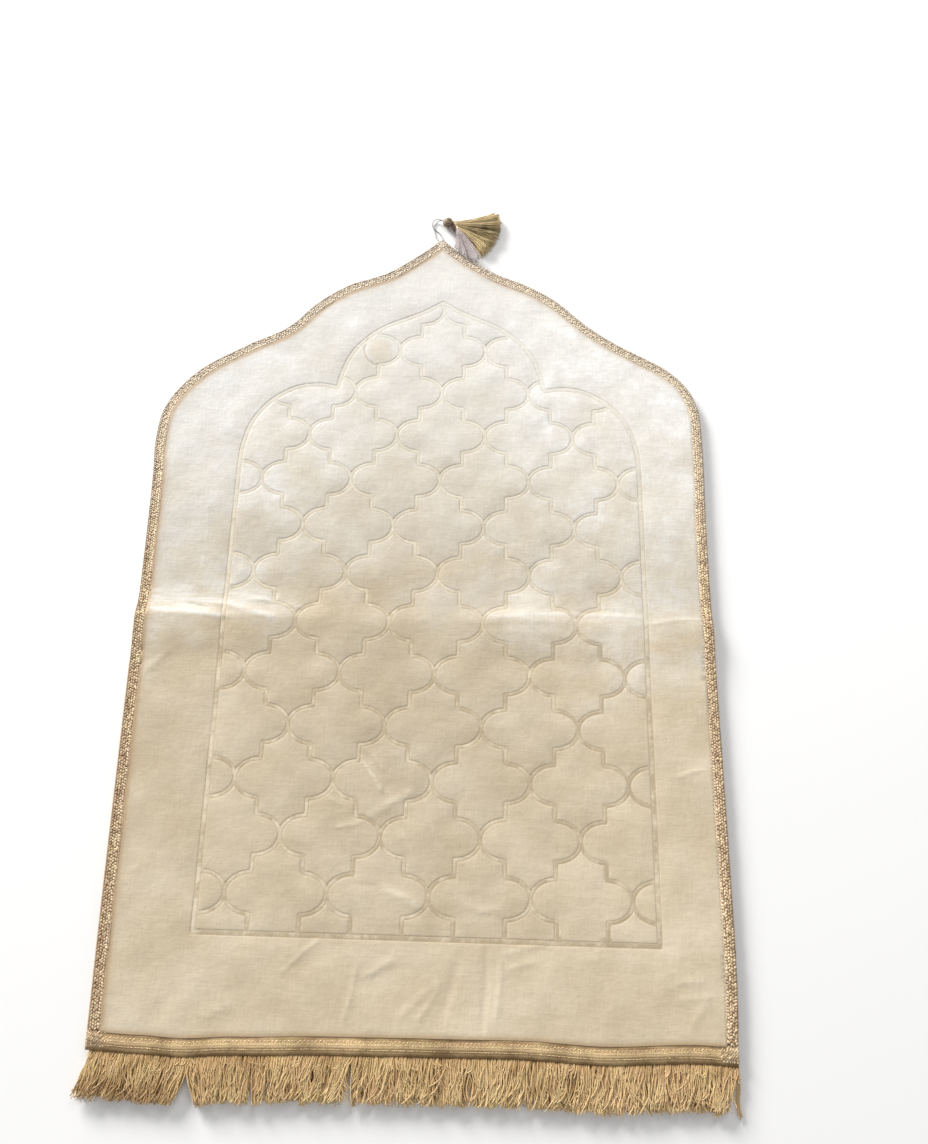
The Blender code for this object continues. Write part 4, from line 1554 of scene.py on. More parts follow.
# %% How bright the braid is
# The share of the rug's upper half that counts, and the point of the arch.
UPPER_Y = -0.12
UPPER_OVER = 0.42
POINT_Y = 0.43
POINT_OVER = 0.05
# The glow over all, and what the arch and the right side add and the point takes away.
GLOW_LEVEL = -0.12
GLOW_ARCH = 0.32
GLOW_RIGHT = 0.10
GLOW_POINT = 0.45


def upper_share(spot):
    """From 0 below the fold to 1 high on the arch."""
    return np.clip((spot[:, 1] - UPPER_Y) / UPPER_OVER, 0.0, 1.0)


def braid_glow(spot):
    """The braid is brighter on the arch, where it mirrors the light, but not at its point."""
    point = np.clip((spot[:, 1] - POINT_Y) / POINT_OVER, 0.0, 1.0)
    glow = GLOW_ARCH * upper_share(spot) - GLOW_POINT * point
    return glow + GLOW_RIGHT * (spot[:, 0] > 0.0) + GLOW_LEVEL


print("Glow at the left shoulder:", braid_glow(np.array([LEFT_EDGE[8]])))

# %% Stitches of the plait
# Each row: its inset, how it leans, its shift along the edge and how bright it is.
STITCH_ROWS = (
    (0.0024, 32.0, 0.0, -0.32),
    (0.0051, -38.0, 0.5, -0.08),
    (0.0078, 34.0, 0.1, 0.06),
    (0.0105, -36.0, 0.6, 0.32),
)
STITCH_PITCH = 0.0033
STITCH_HALF = (0.00195, 0.00132, 0.00100)
# The plait is highest in its middle and a little lower at both sides.
PLAIT_RISE = 0.0026
PLAIT_DROP = 0.0002
PLAIT_MIDDLE = 0.0070
PLAIT_HALF = 0.0040
# How uneven the stitches are along, across and up, and in degrees.
UNEVEN_ALONG = 0.00038
UNEVEN_ACROSS = 0.00030
UNEVEN_UP = 0.00012
UNEVEN_LEAN = 13.0
PLAIT_TONE = (0.67, 0.10)
# A third of the stitches catch the light.
BRIGHT_STITCHES = 0.34
BRIGHTER = 0.32
# A row's own brightness is painted light: it shows most where the braid's outer side
# faces the light, and more on the arch than below the fold.
FACING = 1.2
FACING_LOW = 0.50
FACING_ARCH = 0.94


def plait(start, end, seed):
    """All stitches between two lengths along the edge."""
    random = np.random.default_rng(seed)
    parts = []
    for inset, lean, shift, tone in STITCH_ROWS:
        run = np.arange(start, end, STITCH_PITCH) + shift * STITCH_PITCH
        run = run[run < end]
        run = run + random.normal(0.0, UNEVEN_ALONG, len(run))
        insets = inset + random.normal(0.0, UNEVEN_ACROSS, len(run))
        rise = PLAIT_RISE - PLAIT_DROP * ((inset - PLAIT_MIDDLE) / PLAIT_HALF) ** 2
        spot, along, inward = on_edge(run, insets, BRAID_BASE + rise)
        spot[:, 2] += random.normal(0.0, UNEVEN_UP, len(run))
        turn = np.radians(lean + random.normal(0.0, UNEVEN_LEAN, len(run)))[:, None]
        sizes = np.array(STITCH_HALF) * random.uniform(0.86, 1.16, (len(run), 1))
        points, faces = stitches(spot, *leaning(along, inward, turn), sizes, 4, 8)
        facing = FACING + inward[:, :2] @ -LIGHT_FROM
        facing = facing * (FACING_LOW + FACING_ARCH * upper_share(spot))
        tint = random.normal(*PLAIT_TONE, len(run)) + tone * facing + braid_glow(spot)
        tint = tint + BRIGHTER * (random.random(len(run)) < BRIGHT_STITCHES)
        parts.append((points, faces, np.repeat(tint, len(points) // len(run))))
    return joined(parts)


braid_middle = running_length(left_side)[-1]
for name, *stretch in (
    ("braid_left", braid_start, braid_middle, 21),
    ("braid_right", braid_middle, braid_end, 22),
):
    add_piece(name, *plait(*stretch), braid_finish, "braid", ["edge_braid"])

# %% Twisted cords at both sides of the braid
CORD_PITCH = 0.00165
CORD_LEAN = math.radians(34.0)
CORD_HALF = (0.00125, 0.00062, 0.00078)
# Along the right side a cord is lighter below this place and darker above it.
RIGHT_TURN_Y = 0.26
RIGHT_TURN_OVER = 0.08
# Each cord: its inset, rise, tone, share of the glow, change on the right side and seed.
# The outer cord's low tone is painted shade along the braid's outer edge.
CORDS = {
    "braid_outer_cord": (0.0004, 0.0009, 0.00, 0.8, 0.50, 23),
    "braid_inner_cord": (0.0124, 0.0023, 1.22, 2.2, 0.00, 24),
}


def twisted_cord(inset, rise, tone, glow, right, seed):
    """A thin cord drawn as the slanted turns of its twist."""
    random = np.random.default_rng(seed)
    run = np.arange(braid_start, braid_end, CORD_PITCH)
    insets = inset + random.normal(0.0, 0.00008, len(run))
    spot, along, inward = on_edge(run, insets, BRAID_BASE + rise)
    sizes = np.array(CORD_HALF) * random.uniform(0.92, 1.08, (len(run), 1))
    points, faces = stitches(spot, *leaning(along, inward, CORD_LEAN), sizes, 3, 5)
    tint = random.normal(tone, 0.16, len(run)) + glow * braid_glow(spot)
    below = np.clip((RIGHT_TURN_Y - spot[:, 1]) / RIGHT_TURN_OVER, -1.0, 1.0)
    tint = tint + right * (spot[:, 0] > 0.0) * below
    return points, faces, np.repeat(tint, len(points) // len(run))


for name, cord in CORDS.items():
    add_piece(name, *twisted_cord(*cord), cord_finish, "braid", ["edge_braid"])

# %% [markdown]
# ## The tape over the hem
#
# A folded satin tape covers the hem. From the velvet down it shows a turned edge, a
# groove, a ribbed satin face with bright machine stitches, a narrow groove, a thin cord
# and its lower side above the fringe, and the grooves and the lower side are painted dark
# with their shade. Each could be a strip of its own, but they are one piece of weaving.
# So one cross-section carries all of that, swept along the hem's slightly wavy line, and
# the stitches are set on it one by one.

# %% The tape's cross-section
# Each point: how far below the hem it lies and its height, in millimetres, and its tint.
# The low tints in the grooves and on the lower side are painted shade.
TAPE_SECTION = (
    (0.3, 6.8, 0.30),
    (0.4, 8.5, 0.55),
    (0.9, 8.8, 0.44),
    (1.5, 8.9, 0.46),
    (2.1, 9.0, 0.50),
    (2.7, 9.1, 0.26),
    (3.2, 9.3, 0.14),
    (3.8, 9.6, 0.16),
    (4.3, 9.75, 0.84),
    (4.9, 9.60, 0.90),
    (5.6, 9.68, 1.02),
    (6.2, 9.50, 1.20),
    (6.8, 9.66, 1.28),
    (7.4, 9.48, 0.94),
    (8.0, 9.62, 0.98),
    (8.6, 9.45, 0.90),
    (9.2, 9.55, 1.10),
    (9.8, 9.40, 1.10),
    (10.4, 9.35, 1.12),
    (11.0, 9.15, 1.18),
    (11.6, 8.80, 0.80),
    (12.1, 8.50, 0.30),
    (12.6, 8.60, 0.46),
    (13.1, 8.72, 0.72),
    (13.6, 8.60, 0.60),
    (14.3, 8.35, 0.40),
    (15.0, 8.25, 0.56),
    (15.8, 8.10, 0.42),
    (16.6, 7.95, 0.14),
    (17.6, 7.80, 0.08),
    (18.5, 7.50, 0.10),
    (18.9, 6.90, 0.10),
    (18.9, 6.30, 0.10),
)
TAPE_ENDS = (-0.3455, 0.3445)
tape_finish = yarn_material(
    "gold_tape", (0.20, 0.115, 0.042), (1.0, 0.74, 0.41), 0.36, 0.20, 1300.0, 45.0
)
TAPE_SPACING = 0.0010
RIB_HEIGHT = 0.00005
RIB_LENGTH = 0.0017
# How far the tape's edges wander and its gloss changes, and over how many points.
WOBBLE = (12, 0.00018)
GLOSS = (16, 0.15)
WEAVE = 0.10


def slow_change(random, x, every, spread):
    """A random value that changes slowly along x."""
    places = x[::every]
    return np.interp(x, places, random.normal(0.0, spread, len(places)))


def tape():
    """The tape swept along the hem: points, faces and tint."""
    random = np.random.default_rng(31)
    x = np.arange(*TAPE_ENDS, TAPE_SPACING)
    wobble = slow_change(random, x, *WOBBLE)
    gloss = slow_change(random, x, *GLOSS)
    points, tints = [], []
    for below, height, tint in TAPE_SECTION:
        y = hem_y(x) - below * MM + wobble
        ribs = RIB_HEIGHT * np.sin(x * TAU / RIB_LENGTH + below)
        points.append(np.column_stack((x, y, height * MM + ribs)))
        weave = random.normal(0.0, WEAVE, len(x)) + gloss * random.uniform(0.6, 1.4)
        tints.append(tint + weave * (0.3 + tint))
    points = np.stack(points, axis=1).reshape(-1, 3)
    faces = flipped(tube_faces(1, len(x), len(TAPE_SECTION)))
    return points, faces, np.stack(tints, axis=1).ravel()


add_piece("hem_tape", *tape(), tape_finish, "tape", ["bottom_tape"])

# %% The braid's stitches on both ends of the tape
# Rows down the tape in millimetres, and places along each row in metres. Every second
# row is set half a stitch further in, and the rows thin out from this far in.
END_ROWS = np.arange(0.8, 15.5, 1.7)
END_STEPS = np.arange(0.0014, 0.0215, 0.0029)
HALF_STEP = 0.0014
THINNING_FROM = 0.010
THINNING_OVER = 0.018
END_HALF = (0.00165, 0.00105, 0.00055)
END_RISE = 0.0002
END_LEAN = 38.0
ALONG_HEM = np.array((1.0, 0.0, 0.0))
UP_THE_RUG = np.array((0.0, 1.0, 0.0))


def tape_end_stitches():
    """The braid runs on over both ends of the tape and thins out along it."""
    random = np.random.default_rng(33)
    x, below = [], []
    for end, inward in zip(TAPE_ENDS, (1.0, -1.0)):
        for number, row in enumerate(END_ROWS):
            steps = END_STEPS + HALF_STEP * (number % 2)
            thinned_out = (steps - THINNING_FROM) / THINNING_OVER
            steps = steps[random.random(len(steps)) > thinned_out]
            x.append(end + inward * steps)
            below.append(np.full(len(steps), row))
    x, below = np.concatenate(x), np.concatenate(below)
    x = x + random.normal(0.0, 0.00025, len(x))
    below = below + random.normal(0.0, 0.18, len(x))
    section = np.array(TAPE_SECTION)
    z = np.interp(below, section[1:, 0], section[1:, 1]) * MM + END_RISE
    spot = np.column_stack((x, hem_y(x) - below * MM, z))
    turn = random.choice((-END_LEAN, END_LEAN), len(x)) + random.normal(0.0, 10.0, len(x))
    leans = leaning(UP_THE_RUG, ALONG_HEM, np.radians(turn)[:, None])
    sizes = np.array(END_HALF) * random.uniform(0.8, 1.15, (len(x), 1))
    points, faces = stitches(spot, *leans, sizes, 4, 8)
    tint = random.normal(0.62, 0.12, len(x)) + 0.30 * (random.random(len(x)) < 0.30)
    return points, faces, np.repeat(tint, len(points) // len(x))


add_piece("tape_end_braid", *tape_end_stitches(), braid_finish, "braid", ["edge_braid"])

# %% Machine stitches on the tape
# Each row: how far below the hem and how high, in millimetres, then in metres its pitch
# and the half sizes of its stitches, and its tone.
TAPE_STITCH_ROWS = (
    (4.7, 9.80, 0.0042, (0.00140, 0.00055, 0.00026), 1.02),
    (5.9, 9.68, 0.0026, (0.00110, 0.00045, 0.00023), 1.00),
    (8.3, 9.62, 0.0026, (0.00110, 0.00045, 0.00023), 0.98),
    (13.1, 8.72, 0.0019, (0.00105, 0.00050, 0.00035), 0.75),
)
STITCH_FREE_END = 0.001


def tape_stitches():
    """Stitches along the upper fold and the ribs, and finer ones along the thin cord."""
    random = np.random.default_rng(32)
    parts = []
    for below, height, pitch, size, tone in TAPE_STITCH_ROWS:
        x = np.arange(TAPE_ENDS[0] + STITCH_FREE_END, TAPE_ENDS[1] - STITCH_FREE_END, pitch)
        x = x + random.normal(0.0, 0.00018, len(x))
        y = hem_y(x) - below * MM + random.normal(0.0, 0.00010, len(x))
        spot = np.column_stack((x, y, np.full(len(x), height * MM)))
        turn = np.radians(random.normal(10.0, 8.0, len(x)))[:, None]
        sizes = np.array(size) * random.uniform(0.85, 1.15, (len(x), 1))
        leans = leaning(ALONG_HEM, UP_THE_RUG, turn)
        points, faces = stitches(spot, *leans, sizes, 3, 5)
        tint = random.normal(tone, 0.22, len(x))
        parts.append((points, faces, np.repeat(tint, len(points) // len(x))))
    return joined(parts)


add_piece("tape_stitches", *tape_stitches(), tape_finish, "tape", ["bottom_tape"])

# %% [markdown]
# ## The fringe
#
# The fringe is cut silky yarn, sewn into a strip under the tape. It hangs in small locks
# that sway together, cross at their tips and part in a few places. Hair particles would
# do for a preview, but real meshes export with the part. So every yarn is a thin tube
# with a wave of its own, and the locks share a lean. Thick yarns lie on the floor, finer
# and wilder ones over them, and short tufts stand at their roots.

# %% How the fringe leans
# Each row of the lean: a place along the hem, and how far the tips swing from it.
FRINGE_LENGTH = 0.0515
FRINGE_ROOT = 0.0158
LEAN = (
    (-0.345, -0.0105),
    (-0.315, -0.0060),
    (-0.250, -0.0020),
    (-0.215, 0.0005),
    (-0.180, -0.0040),
    (-0.130, -0.0050),
    (-0.100, -0.0080),
    (-0.050, -0.0065),
    (-0.020, -0.0005),
    (0.040, 0.0015),
    (0.110, -0.0025),
    (0.210, -0.0030),
    (0.300, -0.0050),
    (0.345, -0.0150),
)
# Each parting: its place, where down the yarns it opens, how wide it grows, its reach.
PARTINGS = (
    (-0.2360, 0.37, 0.0190, 0.0300),
    (-0.1670, 0.45, 0.0050, 0.0200),
    (-0.0625, 0.75, 0.0080, 0.0150),
    (-0.0155, 0.70, 0.0100, 0.0180),
    (0.1210, 0.60, 0.0050, 0.0160),
    (0.2480, 0.65, 0.0060, 0.0180),
)


def parted(x, root_x, share):
    """Push yarns aside where the fringe parts. Share is how far down they are."""
    for place, start, growth, reach in PARTINGS:
        gap = growth * np.clip(share - start, 0.0, 1.0)
        side = np.where(root_x > place, 1.0, -1.0)
        away = np.maximum((x - place) * side, 0.0)
        pushed = gap + away * (reach - gap) / reach
        x = np.where(away < reach, place + side * pushed, x)
    return x


print("The widest parting:", round(2.0 * PARTINGS[0][2] * (1.0 - PARTINGS[0][1]), 4))

# %% Fringe finish
fringe_finish = yarn_material(
    "gold_fringe", (0.40, 0.236, 0.094), (0.88, 0.645, 0.345), 0.50, 0.0, 1100.0, 45.0
)
heading_finish = yarn_material(
    "fringe_heading", (0.14, 0.080, 0.028), (0.50, 0.33, 0.14), 0.55, 0.10, 900.0, 60.0
)
# Light goes a little way into the loose yarn, so it glows, and its flecks are faint.
for finish in (fringe_finish, heading_finish):
    shader = finish.node_tree.nodes["Principled BSDF"]
    shader.inputs["Subsurface Weight"].default_value = 0.4
    shader.inputs["Subsurface Radius"].default_value = (1.0, 1.0, 1.0)
    shader.inputs["Subsurface Scale"].default_value = 0.0010
    finish.node_tree.nodes["Group"].inputs["Fleck"].default_value = 0.4
print("Fringe finishes made")

# %% The strip that holds the fringe
# Each point: how far below the hem it lies and its height, in millimetres.
HEADING_SECTION = ((11.35, 0.2), (11.35, 6.1), (16.6, 6.0), (17.4, 4.6), (17.4, 0.2))
HEADING_ENDS = (-0.3435, 0.3430)
HEADING_SPACING = 0.003
HEADING_TINT = 0.6


def heading():
    """The strip, swept along the hem under the tape."""
    x = np.arange(*HEADING_ENDS, HEADING_SPACING)
    rings = []
    for below, height in HEADING_SECTION:
        rings.append(np.column_stack((x, hem_y(x) - below * MM, np.full(len(x), height * MM))))
    points = np.stack(rings, axis=1).reshape(-1, 3)
    faces = flipped(tube_faces(1, len(x), len(HEADING_SECTION)))
    return points, faces, np.full(len(points), HEADING_TINT)


add_piece("fringe_heading", *heading(), heading_finish, "fringe", ["fringe"])

# %% Tone along the yarns
# A yarn is painted dark at its root, a painted shade under the tape, and pale at its tip,
# painted light that lifts the shade among the tips. The fringe's left end is browner from
# a third of the way down.
ROOT_DARK = 0.42
ROOT_REACH = 0.26
ROOT_SLOPE = 0.16
ROOT_EVEN = 0.03
TIP_PALE = 0.50
LEFT_END_X = -0.225
LEFT_END_OVER = 0.03
LEFT_END_DOWN = 0.35
LEFT_END_MOST = 0.4
LEFT_END_BROWN = 1.7


def yarn_shade(x, share, t):
    """How much darker each ring of a yarn is than the yarn's own tone."""
    at_root = ROOT_EVEN + ROOT_DARK * bell(share, ROOT_REACH) + ROOT_SLOPE * (1.0 - share) ** 2
    at_left = np.clip((LEFT_END_X - x) / LEFT_END_OVER, 0.0, 1.0)[:, None]
    brown = LEFT_END_BROWN * at_left * np.clip(share - LEFT_END_DOWN, 0.0, LEFT_END_MOST)
    return at_root + brown - TIP_PALE * t**5


print("Shade at a root:", yarn_shade(np.zeros(1), np.zeros((1, 1)), 0.0))

# %% Waves and heights of the yarns
# Each yarn has a slow swing and a quick crimp: how far, and how many turns of each.
SWING = (0.0008, 0.0032)
SWING_TURNS = (0.5, 1.2)
CRIMP = (0.0004, 0.0015)
CRIMP_TURNS = (1.4, 3.0)
# Its layer lies between the floor and the top of the fringe, and its root a little
# nearer to the middle. How fast it leaves the root, and the height of its ripple.
FLOOR_LAYER = 0.0012
TOP_LAYER = 0.0078
LAYER_UNEVEN = (-0.0004, 0.0005)
ROOT_HEIGHT = 0.0022
ROOT_LEAVING = 5.0
RIPPLE = 0.0006


def yarn_waves(random, phase, share):
    """How far each ring of a yarn sways sideways, before the root holds it."""
    count = len(phase)
    slow = random.uniform(*SWING_TURNS, (count, 1))
    quick = random.uniform(*CRIMP_TURNS, (count, 1))
    swing = random.uniform(*SWING, (count, 1)) * np.sin(phase + slow * TAU * share)
    crimp = random.uniform(*CRIMP, (count, 1)) * np.sin(2.0 * phase + quick * TAU * share)
    return swing + crimp


def yarn_heights(random, depth, phase, share):
    """How high each ring of a yarn lies. Depth goes from 0 at the floor to 1 on top."""
    root_z = ROOT_HEIGHT + ROOT_HEIGHT * depth
    rest_z = FLOOR_LAYER + TOP_LAYER * depth + random.uniform(*LAYER_UNEVEN, len(phase))
    line_z = rest_z[:, None] + (root_z - rest_z[:, None]) * np.exp(-ROOT_LEAVING * share)
    return line_z + RIPPLE * depth * np.sin(phase * 1.7 + 9.0 * share)


print("A yarn on top lies", round(FLOOR_LAYER + TOP_LAYER, 4), "m above the floor")

# %% Yarns of the fringe
YARN_RINGS = 14
YARN_SIDES = 4
LOCK_ENDS = (-0.3385, 0.3400)
YARN_ENDS = (-0.3400, 0.3435)
# How uneven the locks are: places, leans, lengths and tones. Wild tiers lean and curl
# more, and the yarns of a lock fill most of its width.
LOCK_SHIFT = 0.0012
LOCK_LEAN = 0.0020
LOCK_WILD = 0.6
LOCK_LENGTHS = (0.97, 1.03)
LOCK_TONE = 0.15
LOCK_FILL = 0.42
# How uneven the yarns of one lock are, and how much they thin out at their tips.
YARN_WILD = 0.9
YARN_PHASE = 0.8
YARN_CURL = 0.0018
YARN_TONE = 0.09
TIP_THINNER = 0.12


def fringe_yarns(locks, per_lock, depth, lengths, thick, wild, brightness, seed):
    """Yarns in locks, from their roots under the tape to their tips."""
    random = np.random.default_rng(seed)
    count = locks * per_lock
    of = np.repeat(np.arange(locks), per_lock)
    lock_x = np.linspace(*LOCK_ENDS, locks) + random.normal(0.0, LOCK_SHIFT, locks)
    lock_lean = random.normal(0.0, LOCK_LEAN + LOCK_WILD * wild, locks)
    lock_curl = random.normal(0.0, LOCK_WILD * wild, locks)
    lock_phase = random.uniform(0.0, TAU, locks)
    lock_long = random.uniform(*LOCK_LENGTHS, locks)
    lock_tone = random.normal(0.0, LOCK_TONE, locks)
    offset = random.uniform(-1.0, 1.0, count) * LOCK_FILL / locks
    x = np.clip(lock_x[of] + offset, *YARN_ENDS)
    lean = eased(LEAN, x) + lock_lean[of] + random.normal(0.0, YARN_WILD * wild, count)
    length = FRINGE_LENGTH * lock_long[of] * random.uniform(*lengths, count)
    t = np.linspace(0.0, 1.0, YARN_RINGS)[None]
    share = (length / FRINGE_LENGTH)[:, None] * t
    phase = (lock_phase[of] + random.normal(0.0, YARN_PHASE, count))[:, None]
    line_x = x[:, None] + lean[:, None] * share**1.3 - offset[:, None] * 0.5 * share
    line_x = line_x + yarn_waves(random, phase, share) * share**0.5
    tip_curl = (lock_curl[of] + random.normal(0.0, YARN_CURL, count))[:, None] * t**5
    line_x = parted(line_x + tip_curl, x[:, None], share)
    line_y = hem_y(x)[:, None] - FRINGE_ROOT - length[:, None] * (t - 0.05 * t**6)
    radii = random.uniform(*thick, (count, 1)) * (1.0 - TIP_THINNER * t**3)
    line_z = np.maximum(yarn_heights(random, depth, phase, share), radii)
    lines = np.stack((line_x, line_y, line_z), axis=2)
    tone = (brightness + lock_tone[of] + random.normal(0.0, YARN_TONE, count))[:, None]
    tone = tone - yarn_shade(x, share, t)
    points, faces = tubes(lines, radii, YARN_SIDES)
    return points, faces, np.repeat(tone.ravel(), YARN_SIDES)


print("Yarns with", YARN_RINGS, "rings each")

# %% The tiers of the fringe, from the floor up
# Each: locks, yarns in each, depth, shortest and longest share, radii, wildness and tone.
FRINGE_TIERS = {
    "fringe_under": (70, 9, 0.0, (0.92, 1.00), (0.0010, 0.0013), 0.0012, 0.84),
    "fringe_middle": (66, 10, 0.66, (0.90, 1.03), (0.0007, 0.0011), 0.0030, 0.82),
    "fringe_over": (56, 13, 0.95, (0.82, 1.03), (0.00050, 0.00080), 0.0044, 0.92),
    "fringe_loose": (74, 5, 1.05, (0.55, 1.02), (0.00035, 0.00055), 0.0070, 1.08),
    "fringe_tufts": (112, 4, 1.00, (0.20, 0.40), (0.0005, 0.0008), 0.0050, 0.92),
}
for seed, (name, tier) in enumerate(FRINGE_TIERS.items(), 41):
    add_piece(name, *fringe_yarns(*tier, seed), fringe_finish, "fringe", ["fringe"])

# %% Loose strands at both ends of the fringe
END_STRANDS = (
    ((-0.3415, -0.5400), (-0.3440, -0.5560), (-0.3500, -0.5690), (-0.3534, -0.5800)),
    ((-0.3400, -0.5400), (-0.3425, -0.5540), (-0.3462, -0.5660), (-0.3500, -0.5765)),
    ((0.3425, -0.5400), (0.3440, -0.5560), (0.3425, -0.5700), (0.3447, -0.5852)),
    ((0.3415, -0.5400), (0.3428, -0.5550), (0.3418, -0.5720), (0.3425, -0.5868)),
    ((0.3400, -0.5400), (0.3420, -0.5570), (0.3405, -0.5720), (0.3438, -0.5840)),
    ((0.3390, -0.5400), (0.3412, -0.5540), (0.3396, -0.5700), (0.3405, -0.5830)),
)
END_TINTS = (-0.2, 0.5, 1.0, 0.8, 1.1, 0.9)
END_RINGS = 12
END_SIDES = 5
END_RADIUS = 0.0006
END_HEIGHTS = (0.0062, 0.0030)


def end_strand(route):
    """Evenly spaced points on a smooth line through the route, down to the floor."""
    line = smooth_line(route, 0.002)
    run = running_length(line)
    flat = at_lengths(np.linspace(0.0, run[-1], END_RINGS), run, line)
    return np.column_stack((flat, np.linspace(*END_HEIGHTS, END_RINGS)))


end_lines = np.array([end_strand(route) for route in END_STRANDS])
end_points, end_faces = tubes(end_lines, np.full(end_lines.shape[:2], END_RADIUS), END_SIDES)
end_tints = np.repeat(END_TINTS, END_RINGS * END_SIDES)
add_piece("fringe_ends", end_points, end_faces, end_tints, fringe_finish, "fringe", ["fringe"])

# %% [markdown]
# ## The tassel
#
# The tassel has a wound head, a bound neck and a skirt of silky strands. It lies on its
# side with the skirt spread out flat like a fan, dark in its heart and pale at its sides,
# and a few thin mauve wisps come out below. The head could be a bumpy sphere, but its
# thread is thick enough to show each turn, so the turns are tubes over a dark core. The
# skirt is built as the fringe is, from its own lines.

# %% Tassel finishes
head_finish = yarn_material(
    "tassel_head", (0.085, 0.052, 0.030), (0.56, 0.44, 0.29), 0.38, 0.15, 1200.0, 160.0
)
skirt_finish = yarn_material(
    "tassel_skirt", (0.16, 0.105, 0.034), (0.92, 0.74, 0.42), 0.33, 0.20, 1000.0, 90.0
)
wisp_finish = yarn_material(
    "tassel_wisps", (0.34, 0.27, 0.27), (0.74, 0.65, 0.64), 0.45, 0.0, 1000.0, 90.0
)
print("Tassel finishes made")

# %% Places of the tassel
# The head's middle, the direction in which the skirt points, and the line along which
# its strands leave the neck.
HEAD = np.array((0.0145, 0.5268, 0.0070))
AXIS_TURN = math.radians(-15.0)
AXIS = np.array((math.cos(AXIS_TURN), math.sin(AXIS_TURN), 0.0))
ACROSS = np.array((-math.sin(AXIS_TURN), math.cos(AXIS_TURN), 0.0))
UP = np.array((0.0, 0.0, 1.0))
ROOT_TOP = np.array((0.0212, 0.5268, 0.0062))
ROOT_LOW = np.array((0.0268, 0.5165, 0.0056))
ROOT_ALONG = unit(ROOT_LOW - ROOT_TOP)
ROOT_OUT = unit(np.cross(ROOT_ALONG, UP)) * -1.0
NECK_BACK = ROOT_OUT * 0.0012
print("The neck's width:", round(float(np.linalg.norm(ROOT_LOW - ROOT_TOP)), 4))

# %% The wound head
HEAD_RADIUS = 0.0061
HEAD_TURNS = 17
HEAD_TILT = 0.5
TURN_RINGS = 29
TURN_RADIUS = 0.00072
TURN_SIDES = 5


def head_lines():
    """Closed turns of thread over the ball, each through both of its poles."""
    random = np.random.default_rng(51)
    t = np.linspace(0.0, TAU, TURN_RINGS)[None, :, None]
    turn = np.arange(HEAD_TURNS) * math.pi / HEAD_TURNS
    turn = (turn + random.normal(0.0, 0.05, HEAD_TURNS))[:, None, None]
    lean = random.normal(HEAD_TILT, 0.12, HEAD_TURNS)[:, None, None]
    out = ACROSS * np.cos(turn) + UP * np.sin(turn)
    pole = unit(AXIS + 0.35 * np.sin(lean) * np.roll(out, 1, axis=0))
    size = HEAD_RADIUS * (1.0 + random.normal(0.0, 0.02, HEAD_TURNS)[:, None, None])
    return HEAD + size * (np.cos(t) * pole + np.sin(t) * out)


def head_turns():
    """The thread wound over the head, one tube for each turn."""
    lines = head_lines()
    radii = np.full(lines.shape[:2], TURN_RADIUS)
    up = unit(lines - HEAD)
    side = unit(np.cross(unit(np.gradient(lines, axis=1)), up))
    points, faces = tubes_between(lines, radii, side, up, TURN_SIDES)
    random = np.random.default_rng(52)
    tint = random.normal(0.75, 0.25, HEAD_TURNS)
    return points, faces, np.repeat(tint, TURN_RINGS * TURN_SIDES)


def head_core():
    """A dark ball inside the turns, and the bundle that leaves it as the neck."""
    centers = np.array([HEAD, (ROOT_TOP + ROOT_LOW) / 2.0 - NECK_BACK])
    along = np.array([AXIS, ROOT_ALONG])
    across = np.array([ACROSS, ROOT_OUT])
    sizes = np.array([(0.0058, 0.0058, 0.0058), (0.0062, 0.0034, 0.0034)])
    points, faces = stitches(centers, along, across, sizes, 9, 16)
    return points, faces, np.full(len(points), 0.15)


add_piece("tassel_head", *head_turns(), head_finish, "tassel", ["tassel"])
add_piece("tassel_core", *head_core(), head_finish, "tassel", ["tassel"])

# %% The bound neck
NECK_SHARES = (0.05, 0.28, 0.51, 0.74, 0.97)
NECK_RINGS = 21
NECK_RADIUS = 0.0034
NECK_THREAD = 0.00062


def neck_turns():
    """Turns of thread that bind the strands where they leave the head."""
    t = np.linspace(0.0, TAU, NECK_RINGS)[None, :, None]
    share = np.array(NECK_SHARES)[:, None, None]
    center = ROOT_TOP + (ROOT_LOW - ROOT_TOP) * share - NECK_BACK
    size = NECK_RADIUS - 0.0006 * np.abs(share - 0.5)
    lines = center + size * (np.cos(t) * ROOT_OUT + np.sin(t) * UP)
    lines = lines + ROOT_ALONG * 0.0008 * np.cos(t)
    radii = np.full(lines.shape[:2], NECK_THREAD)
    points, faces = tubes(lines, radii, TURN_SIDES, tuple(ROOT_ALONG))
    return points, faces, np.full(len(points), 0.5)


add_piece("tassel_neck", *neck_turns(), head_finish, "tassel", ["tassel"])

# %% The fanned skirt
SKIRT_RINGS = 11
SKIRT_SIDES = 4
# How uneven the strands are: places along the fan, roots, lengths, tips, turns and tone.
FAN_UNEVEN = 0.02
ROOT_UNEVEN = 0.0007
STRAND_LENGTHS = (0.93, 1.02)
TIP_UNEVEN = 0.0010
TURN_UNEVEN = 0.05
STRAND_TONE = 0.36
# The fan is paler at its sides and towards its tips. Its heart, this far along the fan
# and this far down the strands, is darker.
SIDE_PALER = 1.6
SIDE_LEVEL = 0.42
TIP_PALER = 0.15
HEART_ALONG = (0.42, 0.22)
HEART_DOWN = (0.72, 0.25)
HEART_DARK = 0.30
